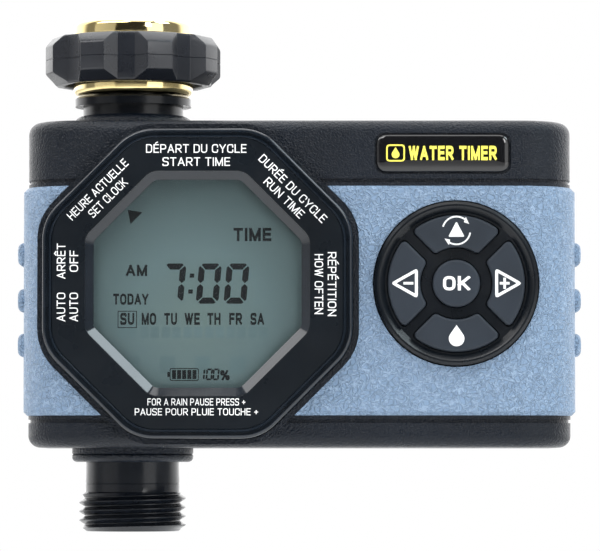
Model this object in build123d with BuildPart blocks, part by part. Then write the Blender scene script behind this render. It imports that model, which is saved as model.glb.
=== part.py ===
from build123d import *
from math import cos, radians, sin, sqrt, tan
import os

# A hose-end irrigation controller: a battery timer with a display and a keypad, a pilot valve inside,
# a swivel nut that screws onto a garden tap and a threaded spout for the hose.
# Millimetres. +Z is up, the display faces -Y, and the water runs down the Z axis.
# The origin is on the water axis, where the hose washer seals against the tap.

# Housing
HOUSING_LEFT, HOUSING_RIGHT = -25.2, 108.9
HOUSING_FRONT, HOUSING_REAR = -28.5, 27.5
HOUSING_BOTTOM, HOUSING_TOP = -96.25, -15.9
HOUSING_HEIGHT = HOUSING_TOP - HOUSING_BOTTOM
WALL = 2.4
FRONT_CORNER_R = 13.0
REAR_CORNER_R = 6.5
EDGE_R = 3.0
PARTING_Y = 16.0
SEAM_GROOVE_W, SEAM_GROOVE_D, SEAM_OFFSET = 0.9, 0.5, 0.9

# Soft grip sleeve: a band round the front shell, half sunk in it
SLEEVE_BOTTOM, SLEEVE_TOP = -88.4, -32.2
SLEEVE_PROUD = 1.2
SLEEVE_SUNK = 1.2
SLEEVE_END_Y = 14.6
SLEEVE_EDGE = 0.95
BUMP_Z = (-48.4, -59.8, -70.9)
BUMP_W = 5.8
BUMP_OUT = 1.5
BUMP_FRONT_Y, BUMP_REAR_Y = -17.0, 9.0

# Display: concentric octagons, sizes across the flats
DISPLAY_X, DISPLAY_Z = 17.0, -56.3
COLLAR_W, COLLAR_FRONT_Y, COLLAR_BACK_Y = 78.4, -30.1, -19.0
BEZEL_W, BEZEL_FRONT_Y, BEZEL_SEAT_Y = 75.6, -33.6, -27.4
BEZEL_ROUND = 0.7
RIM_STEP, RIM_GROOVE_D, RIM_EDGE = 0.35, 0.9, 0.15
RIM_OUT_W, RIM_IN_W = 74.0, 72.5
LABEL_OUT_W, LABEL_IN_W, LABEL_T = 71.2, 54.9, 0.6
WELL_W, WELL_Y = 50.8, -31.05
LENS_W, LENS_T = 54.0, 1.4
LCD_T = 2.2
SKIRT_W, SKIRT_DEPTH = 69.4, 2.6
COLLAR_CORNER, BEZEL_CORNER, SKIRT_CORNER = 12.5, 12.0, 10.0
RIM_OUT_CORNER, RIM_IN_CORNER = 11.6, 11.1
LABEL_OUT_CORNER, LABEL_IN_CORNER = 10.6, 4.6
WELL_CORNER, LENS_CORNER = 2.6, 3.0
OCTAGON_FIT = 0.4

# Keypad
PAD_X, PAD_Z = 80.2, -56.2
PAD_R = 20.05
PAD_RIM_R = 18.65
PAD_SKIRT_R = 18.4
PAD_FRONT_Y, PAD_FACE_Y, PAD_SEAT_Y = -31.3, -30.0, -27.3
PAD_BACK_Y = -27.9
KEY_OUT_R, KEY_IN_R, KEY_CORNER_R = 16.75, 8.8, 1.2
KEY_WEB = 2.8
KEY_GAP = 0.25
KEY_FRONT_Y, KEY_FLANGE_Y, KEY_STEM_Y = -31.1, -26.9, -25.6
KEY_LIP = 0.7
OK_R = 5.8
KEY_EDGE_R = 0.7
KEY_CENTRE_R = 12.9
KEY_STEM_R = 2.2
PAD_WINDOW_R = 18.5
GRIP_GAP = 0.35

# Electronics
BOARD_Y, BOARD_T = -22.0, 1.6
BOARD_LEFT, BOARD_RIGHT, BOARD_BOTTOM, BOARD_TOP = -16.0, 99.7, -90.2, -22.4
BOARD_SCREWS = [(x, z) for x in (-12.6, 96.3) for z in (-86.8, -25.8)]
BOARD_POST_R, BOARD_SCREW_L, BOARD_HOLE_R = 3.0, 5.6, 1.5
PILOT_DEPTH = 4.6
MAT_R, MAT_T = 17.8, 1.2
DOME_R, DOME_H, DOME_TAPER = 4.0, 1.3, 1.2

# Badge
BADGE_X, BADGE_Z = 77.0, -24.2
BADGE_L, BADGE_H, BADGE_R = 32.7, 9.3, 2.0
BADGE_SUNK, BADGE_T, BADGE_GAP, BADGE_EDGE_R = 0.5, 1.3, 0.4, 0.6

# Hose threads, 3/4 inch garden hose, 11.5 turns per inch, drawn as rings
THREAD_PITCH = 25.4 / 11.5
NUT_CREST_R, NUT_ROOT_R, NUT_ROOT_W = 12.45, 13.5, 0.3
SPOUT_CREST_R, SPOUT_ROOT_R, SPOUT_ROOT_W = 13.4, 12.05, 0.25
FLANK_TAN = tan(radians(30))

# Swivel nut and handwheel
NUT_BOTTOM, NUT_TOP = -7.75, 10.45
NUT_R, NUT_CORE_R = 15.0, 14.4
NUT_LIP_R, NUT_SEAT_R, NUT_LIP_TOP = 10.35, 12.95, -5.0
NUT_EDGE = 0.9
WHEEL_BOTTOM, WHEEL_TOP = -5.3, 6.8
HUB_R, HUB_DEPTH = 17.4, 1.6
WHEEL_R, WHEEL_FLOOR_R = 22.3, 19.62
WHEEL_HALF, WHEEL_FLOOR_HALF = 14.1, 6.3
WHEEL_GROOVES = 8
WHEEL_TURN = -93.0
WHEEL_CORNER_R = 0.35
WHEEL_LOW_R, WHEEL_LOW_Z = 19.2, -2.7
WHEEL_HIGH_R, WHEEL_HIGH_Z = 20.2, 4.4
DRIVE_RIBS, DRIVE_RIB_W, DRIVE_RIB_END = 8, 2.4, 0.8

# Inlet spout, washer and screen
DOME_RING_R, DOME_RING_TOP, DOME_ROUND = 15.0, -13.0, 2.4
BOSS_ROOT = 0.4
SPOUT_NECK_R, SPOUT_FLANGE_R = 12.6, 14.6
SPOUT_FLANGE_BOTTOM, SPOUT_FLANGE_TOP, SPOUT_FLANGE_EDGE = -10.55, -8.3, 0.4
SPOUT_TUBE_R, SPOUT_BORE_R = 9.9, 7.5
SPOUT_HEAD_R, SPOUT_HEAD_BOTTOM, SPOUT_HEAD_TOP = 12.2, -4.8, -2.6
SPOUT_END_Z = -29.6
SCREEN_SEAT_R, SCREEN_SEAT_D = 9.3, 0.8
RING_SEAT_R, RING_SEAT_HALF, RING_R, RING_WIRE_R = 8.5, 0.9, 9.27, 0.75
WASHER_R, WASHER_IN_R = 12.6, 9.0

# Outlet spout
BOSS_RING_R, BOSS_RING_BOTTOM, BOSS_ROUND = 15.2, -99.75, 1.3
BOSS_GROOVE_Z, BOSS_GROOVE_D = -97.85, 0.3
OUTLET_NECK_R = 11.75
OUTLET_THREAD_TOP, OUTLET_END_Z = -107.6, -117.05
OUTLET_TOP_Z = -83.6
CREST_COUNT = 4

# Valve
VALVE_Z = -56.3
SOCKET_R, SOCKET_BORE_R = 12.6, 10.05
PIPE_R = 11.0
SHELL_HOLE_R = 10.15
FLANGE_HALF, FLANGE_CORNER_R = 16.4, 4.5
CHAMBER_X0, CHAMBER_X1, CHAMBER_R = 8.0, 16.0, 11.5
SEAT_X, SEAT_R, SEAT_BORE_R = 14.6, 7.5, 5.8
OUTLET_BORE_R = 6.0
DIAPHRAGM_R, DIAPHRAGM_T = 13.6, 1.5
BONNET_X1 = 22.4
BONNET_SCREW_OFFSET = 12.6
SCREW_SHANK_R, SCREW_PILOT_R = 1.2, 1.25

# Solenoid, along +X
GUIDE_IN_R, GUIDE_OUT_R = 3.3, 4.0
GUIDE_X0, GUIDE_X1 = 23.4, 45.5
PLUNGER_R, PLUNGER_X0, PLUNGER_X1 = 3.1, 24.2, 39.0
CORE_X0, CORE_X1 = 40.6, 48.6
BOBBIN_X0, BOBBIN_X1, BOBBIN_R, COIL_R = 29.0, 43.5, 7.8, 7.6
YOKE_T, YOKE_HALF = 1.0, 8.1

# Battery compartment, two AA cells along X
CELL_R, CELL_L, CELL_NIPPLE_R, CELL_NIPPLE_L = 7.2, 49.2, 2.7, 1.2
CELL_Y, CELL_Z = 18.3, (-48.6, -64.2)
BAY_LEFT, BAY_RIGHT, BAY_BOTTOM, BAY_TOP, BAY_FLOOR_Y = 40.0, 98.5, -72.2, -40.6, 10.6
BAY_WALL = 1.6
DOOR_LEDGE = 3.0
DOOR_SEAT_Y, DOOR_T, DOOR_GAP = 25.6, 1.7, 0.25
HINGE_Y, HINGE_Z = 27.4, -35.4
HINGE_R, HINGE_PIN_R = 1.7, 0.8
HINGE_CLEAR = 0.35
KNUCKLES = [(46.0, 8.0), (92.0, 8.0)]
LUGS = [(39.5, 4.4), (69.0, 9.0), (98.5, 4.4)]

# Housing screws
CORNER_SCREWS = [(x, z) for x in (-19.2, 102.9) for z in (-90.8, -21.9)]
SCREW_BOSS_R, SCREW_HEAD_R, SCREW_HEAD_T = 3.8, 2.8, 2.0
COUNTERBORE_R, COUNTERBORE_Y = 3.1, 22.4

FAR = 200.0


def front_plane(y, x=0.0, z=0.0):
    """A plane that faces the user, at depth y, with its centre at x, z."""
    return Plane(origin=(x, y, z), x_dir=(1, 0, 0), z_dir=(0, -1, 0))


def side_plane(x, z=VALVE_Z):
    """A plane across the solenoid's axis, facing +X."""
    return Plane(origin=(x, 0, z), x_dir=(0, 1, 0), z_dir=(1, 0, 0))


def plan_outline(inset, rear_limit=FAR):
    """The housing seen from above, shrunk by inset and cut off behind rear_limit."""
    with BuildSketch() as outline:
        with Locations(((HOUSING_LEFT + HOUSING_RIGHT) / 2, (HOUSING_FRONT + HOUSING_REAR) / 2)):
            Rectangle(
                HOUSING_RIGHT - HOUSING_LEFT - 2 * inset,
                HOUSING_REAR - HOUSING_FRONT - 2 * inset,
            )
        fillet(outline.vertices().group_by(Axis.Y)[0], FRONT_CORNER_R - inset)
        fillet(outline.vertices().group_by(Axis.Y)[-1], REAR_CORNER_R - inset)
        with Locations((0, rear_limit - FAR)):
            Rectangle(2 * FAR, 2 * FAR, mode=Mode.INTERSECT)
    return outline.sketch


def octagon(across, corner_r):
    """An octagon with level flats, this far across them, with rounded corners."""
    with BuildSketch() as outline:
        RegularPolygon(across / 2, 8, major_radius=False, rotation=22.5)
        fillet(outline.vertices(), corner_r)
    return outline.sketch


def sector(grow):
    """The outline of one of the four curved keys, above the keypad's centre."""
    with BuildSketch() as outline:
        Circle(KEY_OUT_R + grow)
        Circle(KEY_IN_R - grow, mode=Mode.SUBTRACT)
        tip = (KEY_WEB / 2 - grow) * sqrt(2)
        with BuildLine():
            Polyline((0, tip), (FAR, tip + FAR), (-FAR, tip + FAR), (0, tip))
        make_face(mode=Mode.INTERSECT)
        fillet(outline.vertices(), KEY_CORNER_R)
    return outline.sketch


def ring_thread(start, crest_r, root_r, root_w, count, direction):
    """Profile points (radius, z) of count crests with 60 degree flanks, from the first crest on."""
    flank = abs(crest_r - root_r) * FLANK_TAN
    crest_w = THREAD_PITCH - 2 * flank - root_w
    points = []
    for turn in range(count):
        z = start + direction * turn * THREAD_PITCH
        points += [(crest_r, z), (crest_r, z + direction * crest_w)]
        if turn < count - 1:
            valley = z + direction * (crest_w + flank)
            points += [(root_r, valley), (root_r, valley + direction * root_w)]
    return points


HINGE_PLANE = Plane(origin=(0, HINGE_Y, HINGE_Z), x_dir=(0, 1, 0), z_dir=(1, 0, 0))
HINGE_L = LUGS[-1][0] - LUGS[0][0] + LUGS[0][1]
OUTLINE = plan_outline(0)
CAVITY_OUTLINE = plan_outline(WALL)
GROOVE_OUTLINE = plan_outline(SEAM_GROOVE_D)
SLEEVE_OUTER = plan_outline(-SLEEVE_PROUD, SLEEVE_END_Y)
SLEEVE_INNER = plan_outline(SLEEVE_SUNK)
CUTTER_OUTLINE = plan_outline(-5.0, SLEEVE_END_Y)
COLLAR = octagon(COLLAR_W, COLLAR_CORNER)
COLLAR_GAP = octagon(COLLAR_W + OCTAGON_FIT, COLLAR_CORNER + OCTAGON_FIT / 2)
BEZEL = octagon(BEZEL_W, BEZEL_CORNER)
BEZEL_POCKET = octagon(BEZEL_W + OCTAGON_FIT, BEZEL_CORNER + OCTAGON_FIT / 2)
RIM_OUTER = octagon(RIM_OUT_W, RIM_OUT_CORNER)
RIM_INNER = octagon(RIM_IN_W, RIM_IN_CORNER)
BEZEL_SKIRT = octagon(SKIRT_W, SKIRT_CORNER)
SHELL_WINDOW = octagon(SKIRT_W + OCTAGON_FIT, SKIRT_CORNER + OCTAGON_FIT / 2)
LABEL_POCKET = octagon(LABEL_OUT_W, LABEL_OUT_CORNER)
LABEL_OUTER = octagon(LABEL_OUT_W - OCTAGON_FIT / 2, LABEL_OUT_CORNER - OCTAGON_FIT / 4)
LABEL_INNER = octagon(LABEL_IN_W, LABEL_IN_CORNER)
WELL = octagon(WELL_W, WELL_CORNER)
LENS = octagon(LENS_W, LENS_CORNER)
LENS_POCKET = octagon(LENS_W + OCTAGON_FIT, LENS_CORNER + OCTAGON_FIT / 2)
KEY_SHAPE = sector(0)
KEY_HOLE = sector(KEY_GAP)
KEY_FLANGE = sector(KEY_LIP)

# ---------------------------------------------------------------- front shell
with BuildPart() as front_shell:
    with BuildSketch(Plane.XY.offset(HOUSING_BOTTOM)):
        add(OUTLINE)
    extrude(amount=HOUSING_HEIGHT)
    ends = front_shell.edges().group_by(Axis.Z)
    fillet(ends[0] + ends[-1], EDGE_R)
    # band that the grip sleeve sinks into
    with BuildSketch(Plane.XY.offset(SLEEVE_BOTTOM)):
        add(CUTTER_OUTLINE)
        add(SLEEVE_INNER, mode=Mode.SUBTRACT)
    extrude(amount=SLEEVE_TOP - SLEEVE_BOTTOM, mode=Mode.SUBTRACT)
    # shadow grooves beside the sleeve
    for z in (SLEEVE_TOP + SEAM_OFFSET, SLEEVE_BOTTOM - SEAM_OFFSET - SEAM_GROOVE_W):
        with BuildSketch(Plane.XY.offset(z)):
            add(CUTTER_OUTLINE)
            add(GROOVE_OUTLINE, mode=Mode.SUBTRACT)
        extrude(amount=SEAM_GROOVE_W, mode=Mode.SUBTRACT)
    # raised octagonal collar round the display
    with BuildSketch(front_plane(COLLAR_BACK_Y, DISPLAY_X, DISPLAY_Z)):
        add(COLLAR)
    extrude(amount=COLLAR_BACK_Y - COLLAR_FRONT_Y)
    with BuildSketch(Plane.XY.offset(HOUSING_BOTTOM + WALL)):
        add(CAVITY_OUTLINE)
    extrude(amount=HOUSING_HEIGHT - 2 * WALL, mode=Mode.SUBTRACT)
    # round bosses under the inlet neck and over the outlet neck
    with BuildSketch(Plane.XZ):
        with BuildLine():
            wall = Polyline(
                (0, DOME_RING_TOP),
                (0, HOUSING_TOP - BOSS_ROOT),
                (DOME_RING_R, HOUSING_TOP - BOSS_ROOT),
                (DOME_RING_R, DOME_RING_TOP - DOME_ROUND),
            )
            shoulder = TangentArc(
                wall @ 1, (DOME_RING_R - DOME_ROUND, DOME_RING_TOP), tangent=wall % 1
            )
            Line(shoulder @ 1, wall @ 0)
        make_face()
        with BuildLine():
            wall = Polyline(
                (0, BOSS_RING_BOTTOM),
                (0, HOUSING_BOTTOM + BOSS_ROOT),
                (BOSS_RING_R, HOUSING_BOTTOM + BOSS_ROOT),
                (BOSS_RING_R, BOSS_GROOVE_Z + BOSS_GROOVE_D),
                (BOSS_RING_R - BOSS_GROOVE_D, BOSS_GROOVE_Z),
                (BOSS_RING_R, BOSS_GROOVE_Z - BOSS_GROOVE_D),
                (BOSS_RING_R, BOSS_RING_BOTTOM + BOSS_ROUND),
            )
            lip = TangentArc(
                wall @ 1, (BOSS_RING_R - BOSS_ROUND, BOSS_RING_BOTTOM), tangent=wall % 1
            )
            Line(lip @ 1, wall @ 0)
        make_face()
    revolve(axis=Axis.Z)
    with Locations((0, 0, (HOUSING_TOP + HOUSING_BOTTOM) / 2)):
        Cylinder(SHELL_HOLE_R, 2 * HOUSING_HEIGHT, mode=Mode.SUBTRACT)
    # display pocket and window
    with BuildSketch(front_plane(BEZEL_SEAT_Y, DISPLAY_X, DISPLAY_Z)):
        add(BEZEL_POCKET)
    extrude(amount=10, mode=Mode.SUBTRACT)
    with BuildSketch(front_plane(-15, DISPLAY_X, DISPLAY_Z)):
        add(SHELL_WINDOW)
    extrude(amount=20, mode=Mode.SUBTRACT)
    # keypad window
    with BuildSketch(front_plane(-15, PAD_X, PAD_Z)):
        Circle(PAD_WINDOW_R)
    extrude(amount=20, mode=Mode.SUBTRACT)
    # recess for the badge
    with BuildSketch(front_plane(HOUSING_FRONT + BADGE_SUNK, BADGE_X, BADGE_Z)):
        RectangleRounded(BADGE_L + 2 * BADGE_GAP, BADGE_H + 2 * BADGE_GAP, BADGE_R + BADGE_GAP)
    extrude(amount=5, mode=Mode.SUBTRACT)
    # posts for the circuit board and columns for the housing screws
    for x, z in BOARD_SCREWS:
        with BuildSketch(front_plane(BOARD_Y, x, z)):
            Circle(BOARD_POST_R)
        extrude(amount=BOARD_Y - HOUSING_FRONT - WALL + 0.2)
        with BuildSketch(front_plane(BOARD_Y, x, z)):
            Circle(SCREW_PILOT_R)
        extrude(amount=PILOT_DEPTH, mode=Mode.SUBTRACT)
    for x, z in CORNER_SCREWS:
        with BuildSketch(front_plane(PARTING_Y, x, z)):
            Circle(SCREW_BOSS_R)
        extrude(amount=PARTING_Y + 2)
        with BuildSketch(front_plane(PARTING_Y, x, z)):
            Circle(SCREW_PILOT_R)
        extrude(amount=PARTING_Y - 1, mode=Mode.SUBTRACT)
    split(bisect_by=front_plane(PARTING_Y), keep=Keep.TOP)
front_shell.part.label = "front_shell"

# ---------------------------------------------------------------- rear shell
with BuildPart() as rear_shell:
    with BuildSketch(Plane.XY.offset(HOUSING_BOTTOM)):
        add(OUTLINE)
    extrude(amount=HOUSING_HEIGHT)
    ends = rear_shell.edges().group_by(Axis.Z)
    fillet(ends[0] + ends[-1], EDGE_R)
    with BuildSketch(Plane.XY.offset(HOUSING_BOTTOM + WALL)):
        add(CAVITY_OUTLINE)
    extrude(amount=HOUSING_HEIGHT - 2 * WALL, mode=Mode.SUBTRACT)
    split(bisect_by=front_plane(PARTING_Y), keep=Keep.BOTTOM)
    bay_centre = ((BAY_LEFT + BAY_RIGHT) / 2, (BAY_BOTTOM + BAY_TOP) / 2)
    bay_size = (BAY_RIGHT - BAY_LEFT, BAY_TOP - BAY_BOTTOM)
    # battery bay, its thick rim and the backing of the hinge
    with BuildSketch(front_plane(HOUSING_REAR - WALL / 2, *bay_centre)):
        Rectangle(bay_size[0] + 2 * BAY_WALL, bay_size[1] + 2 * BAY_WALL)
    extrude(amount=HOUSING_REAR - WALL / 2 - BAY_FLOOR_Y + BAY_WALL)
    with BuildSketch(front_plane(HOUSING_REAR - WALL / 2, *bay_centre)):
        Rectangle(bay_size[0] + 2 * DOOR_LEDGE + 2, bay_size[1] + 2 * DOOR_LEDGE + 2)
    extrude(amount=4.0)
    with BuildSketch(front_plane(HOUSING_REAR - WALL / 2, bay_centre[0], HINGE_Z)):
        Rectangle(bay_size[0] + 6, 8.0)
    extrude(amount=4.0)
    for x, z in CORNER_SCREWS:
        with BuildSketch(front_plane(HOUSING_REAR - WALL / 2, x, z)):
            Circle(SCREW_BOSS_R)
        extrude(amount=HOUSING_REAR - WALL / 2 - PARTING_Y)
        with BuildSketch(front_plane(HOUSING_REAR + 1, x, z)):
            Circle(1.7)
        extrude(amount=20, mode=Mode.SUBTRACT)
        with BuildSketch(front_plane(HOUSING_REAR + 1, x, z)):
            Circle(COUNTERBORE_R)
        extrude(amount=HOUSING_REAR + 1 - COUNTERBORE_Y, mode=Mode.SUBTRACT)
    with BuildSketch(front_plane(HOUSING_REAR + 1, *bay_centre)):
        Rectangle(*bay_size)
    extrude(amount=HOUSING_REAR + 1 - BAY_FLOOR_Y, mode=Mode.SUBTRACT)
    # sunk seat for the door, finger scoop below it and groove for its gasket
    with BuildSketch(front_plane(HOUSING_REAR + 1, *bay_centre)):
        RectangleRounded(bay_size[0] + 2 * DOOR_LEDGE, bay_size[1] + 2 * DOOR_LEDGE, 2.0)
    extrude(amount=HOUSING_REAR + 1 - DOOR_SEAT_Y, mode=Mode.SUBTRACT)
    with BuildSketch(front_plane(HOUSING_REAR + 1, bay_centre[0], BAY_BOTTOM - DOOR_LEDGE)):
        SlotOverall(18, 7)
    extrude(amount=HOUSING_REAR + 1 - DOOR_SEAT_Y, mode=Mode.SUBTRACT)
    with BuildSketch(front_plane(DOOR_SEAT_Y, *bay_centre)):
        RectangleRounded(bay_size[0] + 3.8, bay_size[1] + 3.8, 2.0)
        RectangleRounded(bay_size[0] + 1.6, bay_size[1] + 1.6, 0.9, mode=Mode.SUBTRACT)
    extrude(amount=0.8, mode=Mode.SUBTRACT)
    # hinge groove with three lugs, bored for the pin
    with BuildSketch(HINGE_PLANE.offset(LUGS[0][0] - LUGS[0][1] / 2)):
        Circle(HINGE_R + HINGE_CLEAR)
        with Locations((0.1, -1.75)):
            Rectangle(3.8, 3.5)
    extrude(amount=HINGE_L, mode=Mode.SUBTRACT)
    for x, length in LUGS:
        with BuildSketch(HINGE_PLANE.offset(x - length / 2)):
            Circle(HINGE_R)
            with Locations((-1.2, 0)):
                Rectangle(2.4, 2 * HINGE_R + 0.8)
        extrude(amount=length)
    with BuildSketch(HINGE_PLANE.offset(LUGS[0][0] - LUGS[0][1] / 2)):
        Circle(HINGE_PIN_R)
    extrude(amount=HINGE_L, mode=Mode.SUBTRACT)
    # groove in the parting face for the housing gasket
    with BuildSketch(front_plane(PARTING_Y, 0, 0)):
        with Locations(((HOUSING_LEFT + HOUSING_RIGHT) / 2, (HOUSING_TOP + HOUSING_BOTTOM) / 2)):
            RectangleRounded(HOUSING_RIGHT - HOUSING_LEFT - 1.6, HOUSING_HEIGHT - 1.6, 2.4)
            RectangleRounded(
                HOUSING_RIGHT - HOUSING_LEFT - 3.6, HOUSING_HEIGHT - 3.6, 1.4, mode=Mode.SUBTRACT
            )
    extrude(amount=-1.0, mode=Mode.SUBTRACT)
rear_shell.part.label = "rear_shell"

with BuildPart() as housing_gasket:
    with BuildSketch(front_plane(PARTING_Y)):
        with Locations(((HOUSING_LEFT + HOUSING_RIGHT) / 2, (HOUSING_TOP + HOUSING_BOTTOM) / 2)):
            RectangleRounded(HOUSING_RIGHT - HOUSING_LEFT - 1.6, HOUSING_HEIGHT - 1.6, 2.4)
            RectangleRounded(
                HOUSING_RIGHT - HOUSING_LEFT - 3.6, HOUSING_HEIGHT - 3.6, 1.4, mode=Mode.SUBTRACT
            )
    extrude(amount=-1.0)
housing_gasket.part.label = "housing_gasket"

# ---------------------------------------------------------------- grip sleeve
def grip_bump(x, out, z):
    """A rounded grip bump on the side at x, standing out along out, which is 1 or -1."""
    side = Plane(origin=(x - out * 1.0, 0, 0), x_dir=(0, 1, 0), z_dir=(1, 0, 0))
    with BuildPart() as bump:
        with BuildSketch(side):
            with Locations(((BUMP_FRONT_Y + BUMP_REAR_Y) / 2, z)):
                SlotOverall(BUMP_REAR_Y - BUMP_FRONT_Y, BUMP_W)
        extrude(amount=out * (BUMP_OUT + 1.0))
        fillet(bump.edges().group_by(Axis.X)[-1 if out > 0 else 0], BUMP_OUT - 0.1)
    return bump.part


# The display's collar parts the band into a narrow left grip and a wide right one.
SIDES = {
    "grip_left": (HOUSING_LEFT - SLEEVE_PROUD, -1),
    "grip_right": (HOUSING_RIGHT + SLEEVE_PROUD, 1),
}
grips = {}
for name, (side_x, out) in SIDES.items():
    bumps = [grip_bump(side_x, out, z) for z in BUMP_Z]
    with BuildPart() as grip:
        with BuildSketch(Plane.XY.offset(SLEEVE_BOTTOM)):
            add(SLEEVE_OUTER)
        extrude(amount=SLEEVE_TOP - SLEEVE_BOTTOM)
        ends = grip.edges().group_by(Axis.Z)
        chamfer(ends[0] + ends[-1], SLEEVE_EDGE)
        add(bumps)
        with BuildSketch(Plane.XY.offset(SLEEVE_BOTTOM - 1)):
            add(SLEEVE_INNER)
        extrude(amount=SLEEVE_TOP - SLEEVE_BOTTOM + 2, mode=Mode.SUBTRACT)
        with BuildSketch(front_plane(-10, DISPLAY_X, DISPLAY_Z)):
            add(COLLAR_GAP)
        extrude(amount=30, mode=Mode.SUBTRACT)
        with BuildSketch(front_plane(-10, PAD_X, PAD_Z)):
            Circle(PAD_R + GRIP_GAP)
        extrude(amount=30, mode=Mode.SUBTRACT)
        keep = Keep.TOP if out > 0 else Keep.BOTTOM
        split(bisect_by=Plane.YZ.offset(DISPLAY_X), keep=keep)
    grip.part.label = name
    grips[name] = grip.part

# ---------------------------------------------------------------- display
with BuildPart() as display_bezel:
    with BuildSketch(front_plane(BEZEL_SEAT_Y, DISPLAY_X, DISPLAY_Z)):
        add(BEZEL)
    extrude(amount=BEZEL_SEAT_Y - BEZEL_FRONT_Y)
    fillet(display_bezel.edges().group_by(Axis.Y)[0], BEZEL_ROUND)
    # narrow step with a groove in it, then the recess that takes the label ring
    with BuildSketch(front_plane(BEZEL_FRONT_Y + RIM_STEP, DISPLAY_X, DISPLAY_Z)):
        add(RIM_OUTER)
    extrude(amount=5, mode=Mode.SUBTRACT)
    with BuildSketch(front_plane(BEZEL_FRONT_Y + RIM_GROOVE_D, DISPLAY_X, DISPLAY_Z)):
        add(RIM_OUTER)
        add(RIM_INNER, mode=Mode.SUBTRACT)
    extrude(amount=5, mode=Mode.SUBTRACT)
    with BuildSketch(front_plane(BEZEL_FRONT_Y + RIM_STEP + LABEL_T, DISPLAY_X, DISPLAY_Z)):
        add(LABEL_POCKET)
    extrude(amount=5, mode=Mode.SUBTRACT)
    lip_y = BEZEL_FRONT_Y + RIM_STEP
    chamfer([edge for edge in display_bezel.edges() if abs(edge.center().Y - lip_y) < 0.01], RIM_EDGE)
    # skirt that locates in the shell's window
    with BuildSketch(front_plane(BEZEL_SEAT_Y + SKIRT_DEPTH, DISPLAY_X, DISPLAY_Z)):
        add(BEZEL_SKIRT)
    extrude(amount=SKIRT_DEPTH + 0.1)
    # sloping well down to the lens
    with BuildSketch(front_plane(WELL_Y, DISPLAY_X, DISPLAY_Z)):
        add(WELL)
    with BuildSketch(front_plane(BEZEL_FRONT_Y + RIM_STEP + LABEL_T, DISPLAY_X, DISPLAY_Z)):
        add(LABEL_INNER)
    loft(mode=Mode.SUBTRACT)
    with BuildSketch(front_plane(WELL_Y + 1.0, DISPLAY_X, DISPLAY_Z)):
        add(WELL)
    extrude(amount=1.1, mode=Mode.SUBTRACT)
    with BuildSketch(front_plane(BEZEL_SEAT_Y + 5, DISPLAY_X, DISPLAY_Z)):
        add(LENS_POCKET)
    extrude(amount=BEZEL_SEAT_Y + 5 - WELL_Y - 1.0, mode=Mode.SUBTRACT)
display_bezel.part.label = "display_bezel"

with BuildPart() as label_ring:
    with BuildSketch(front_plane(BEZEL_FRONT_Y + RIM_STEP + LABEL_T, DISPLAY_X, DISPLAY_Z)):
        add(LABEL_OUTER)
        add(LABEL_INNER, mode=Mode.SUBTRACT)
    extrude(amount=LABEL_T)
    chamfer(label_ring.edges().group_by(Axis.Y)[0], RIM_EDGE)
label_ring.part.label = "label_ring"

LENS_FRONT_Y = WELL_Y + 1.0
LCD_FRONT_Y = LENS_FRONT_Y + LENS_T + 0.1
with BuildPart() as display_lens:
    with BuildSketch(front_plane(LENS_FRONT_Y + LENS_T, DISPLAY_X, DISPLAY_Z)):
        add(LENS)
    extrude(amount=LENS_T)
display_lens.part.label = "display_lens"

with BuildPart() as lcd_panel:
    with BuildSketch(front_plane(LCD_FRONT_Y + LCD_T, DISPLAY_X, DISPLAY_Z)):
        add(LENS)
    extrude(amount=LCD_T)
lcd_panel.part.label = "lcd_panel"

with BuildPart() as zebra_strips:
    with BuildSketch(front_plane(BOARD_Y, DISPLAY_X, DISPLAY_Z)):
        with GridLocations(0, 46, 1, 2):
            Rectangle(24, 2.4)
    extrude(amount=BOARD_Y - LCD_FRONT_Y - LCD_T)
zebra_strips.part.label = "zebra_strips"

# ---------------------------------------------------------------- keypad
with BuildPart() as keypad_plate:
    # dished disc with a raised rim, turned about the keypad's axis
    with BuildSketch(Plane(origin=(PAD_X, 0, PAD_Z), x_dir=(1, 0, 0), z_dir=(0, 0, 1))):
        with BuildLine():
            Polyline(
                (0, PAD_FACE_Y + 0.5),
                (PAD_RIM_R - 1.2, PAD_FACE_Y),
                (PAD_RIM_R, PAD_FRONT_Y + 0.2),
                (PAD_RIM_R + 0.3, PAD_FRONT_Y),
                (PAD_R - 0.7, PAD_FRONT_Y),
                (PAD_R, PAD_FRONT_Y + 0.7),
                (PAD_R, PAD_SEAT_Y),
                (PAD_SKIRT_R, PAD_SEAT_Y),
                (PAD_SKIRT_R, PAD_SEAT_Y + 2.0),
                (PAD_SKIRT_R - 0.6, PAD_SEAT_Y + 2.0),
                (PAD_SKIRT_R - 0.6, PAD_BACK_Y),
                (0, PAD_BACK_Y),
                close=True,
            )
        make_face()
    revolve(axis=Axis((PAD_X, 0, PAD_Z), (0, 1, 0)))
    for turn in range(4):
        with BuildSketch(front_plane(-20, PAD_X, PAD_Z)):
            add(KEY_HOLE.rotate(Axis.Z, 90 * turn))
        extrude(amount=15, mode=Mode.SUBTRACT)
    with BuildSketch(front_plane(-20, PAD_X, PAD_Z)):
        Circle(OK_R + KEY_GAP)
    extrude(amount=15, mode=Mode.SUBTRACT)
keypad_plate.part.label = "keypad_plate"

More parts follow.
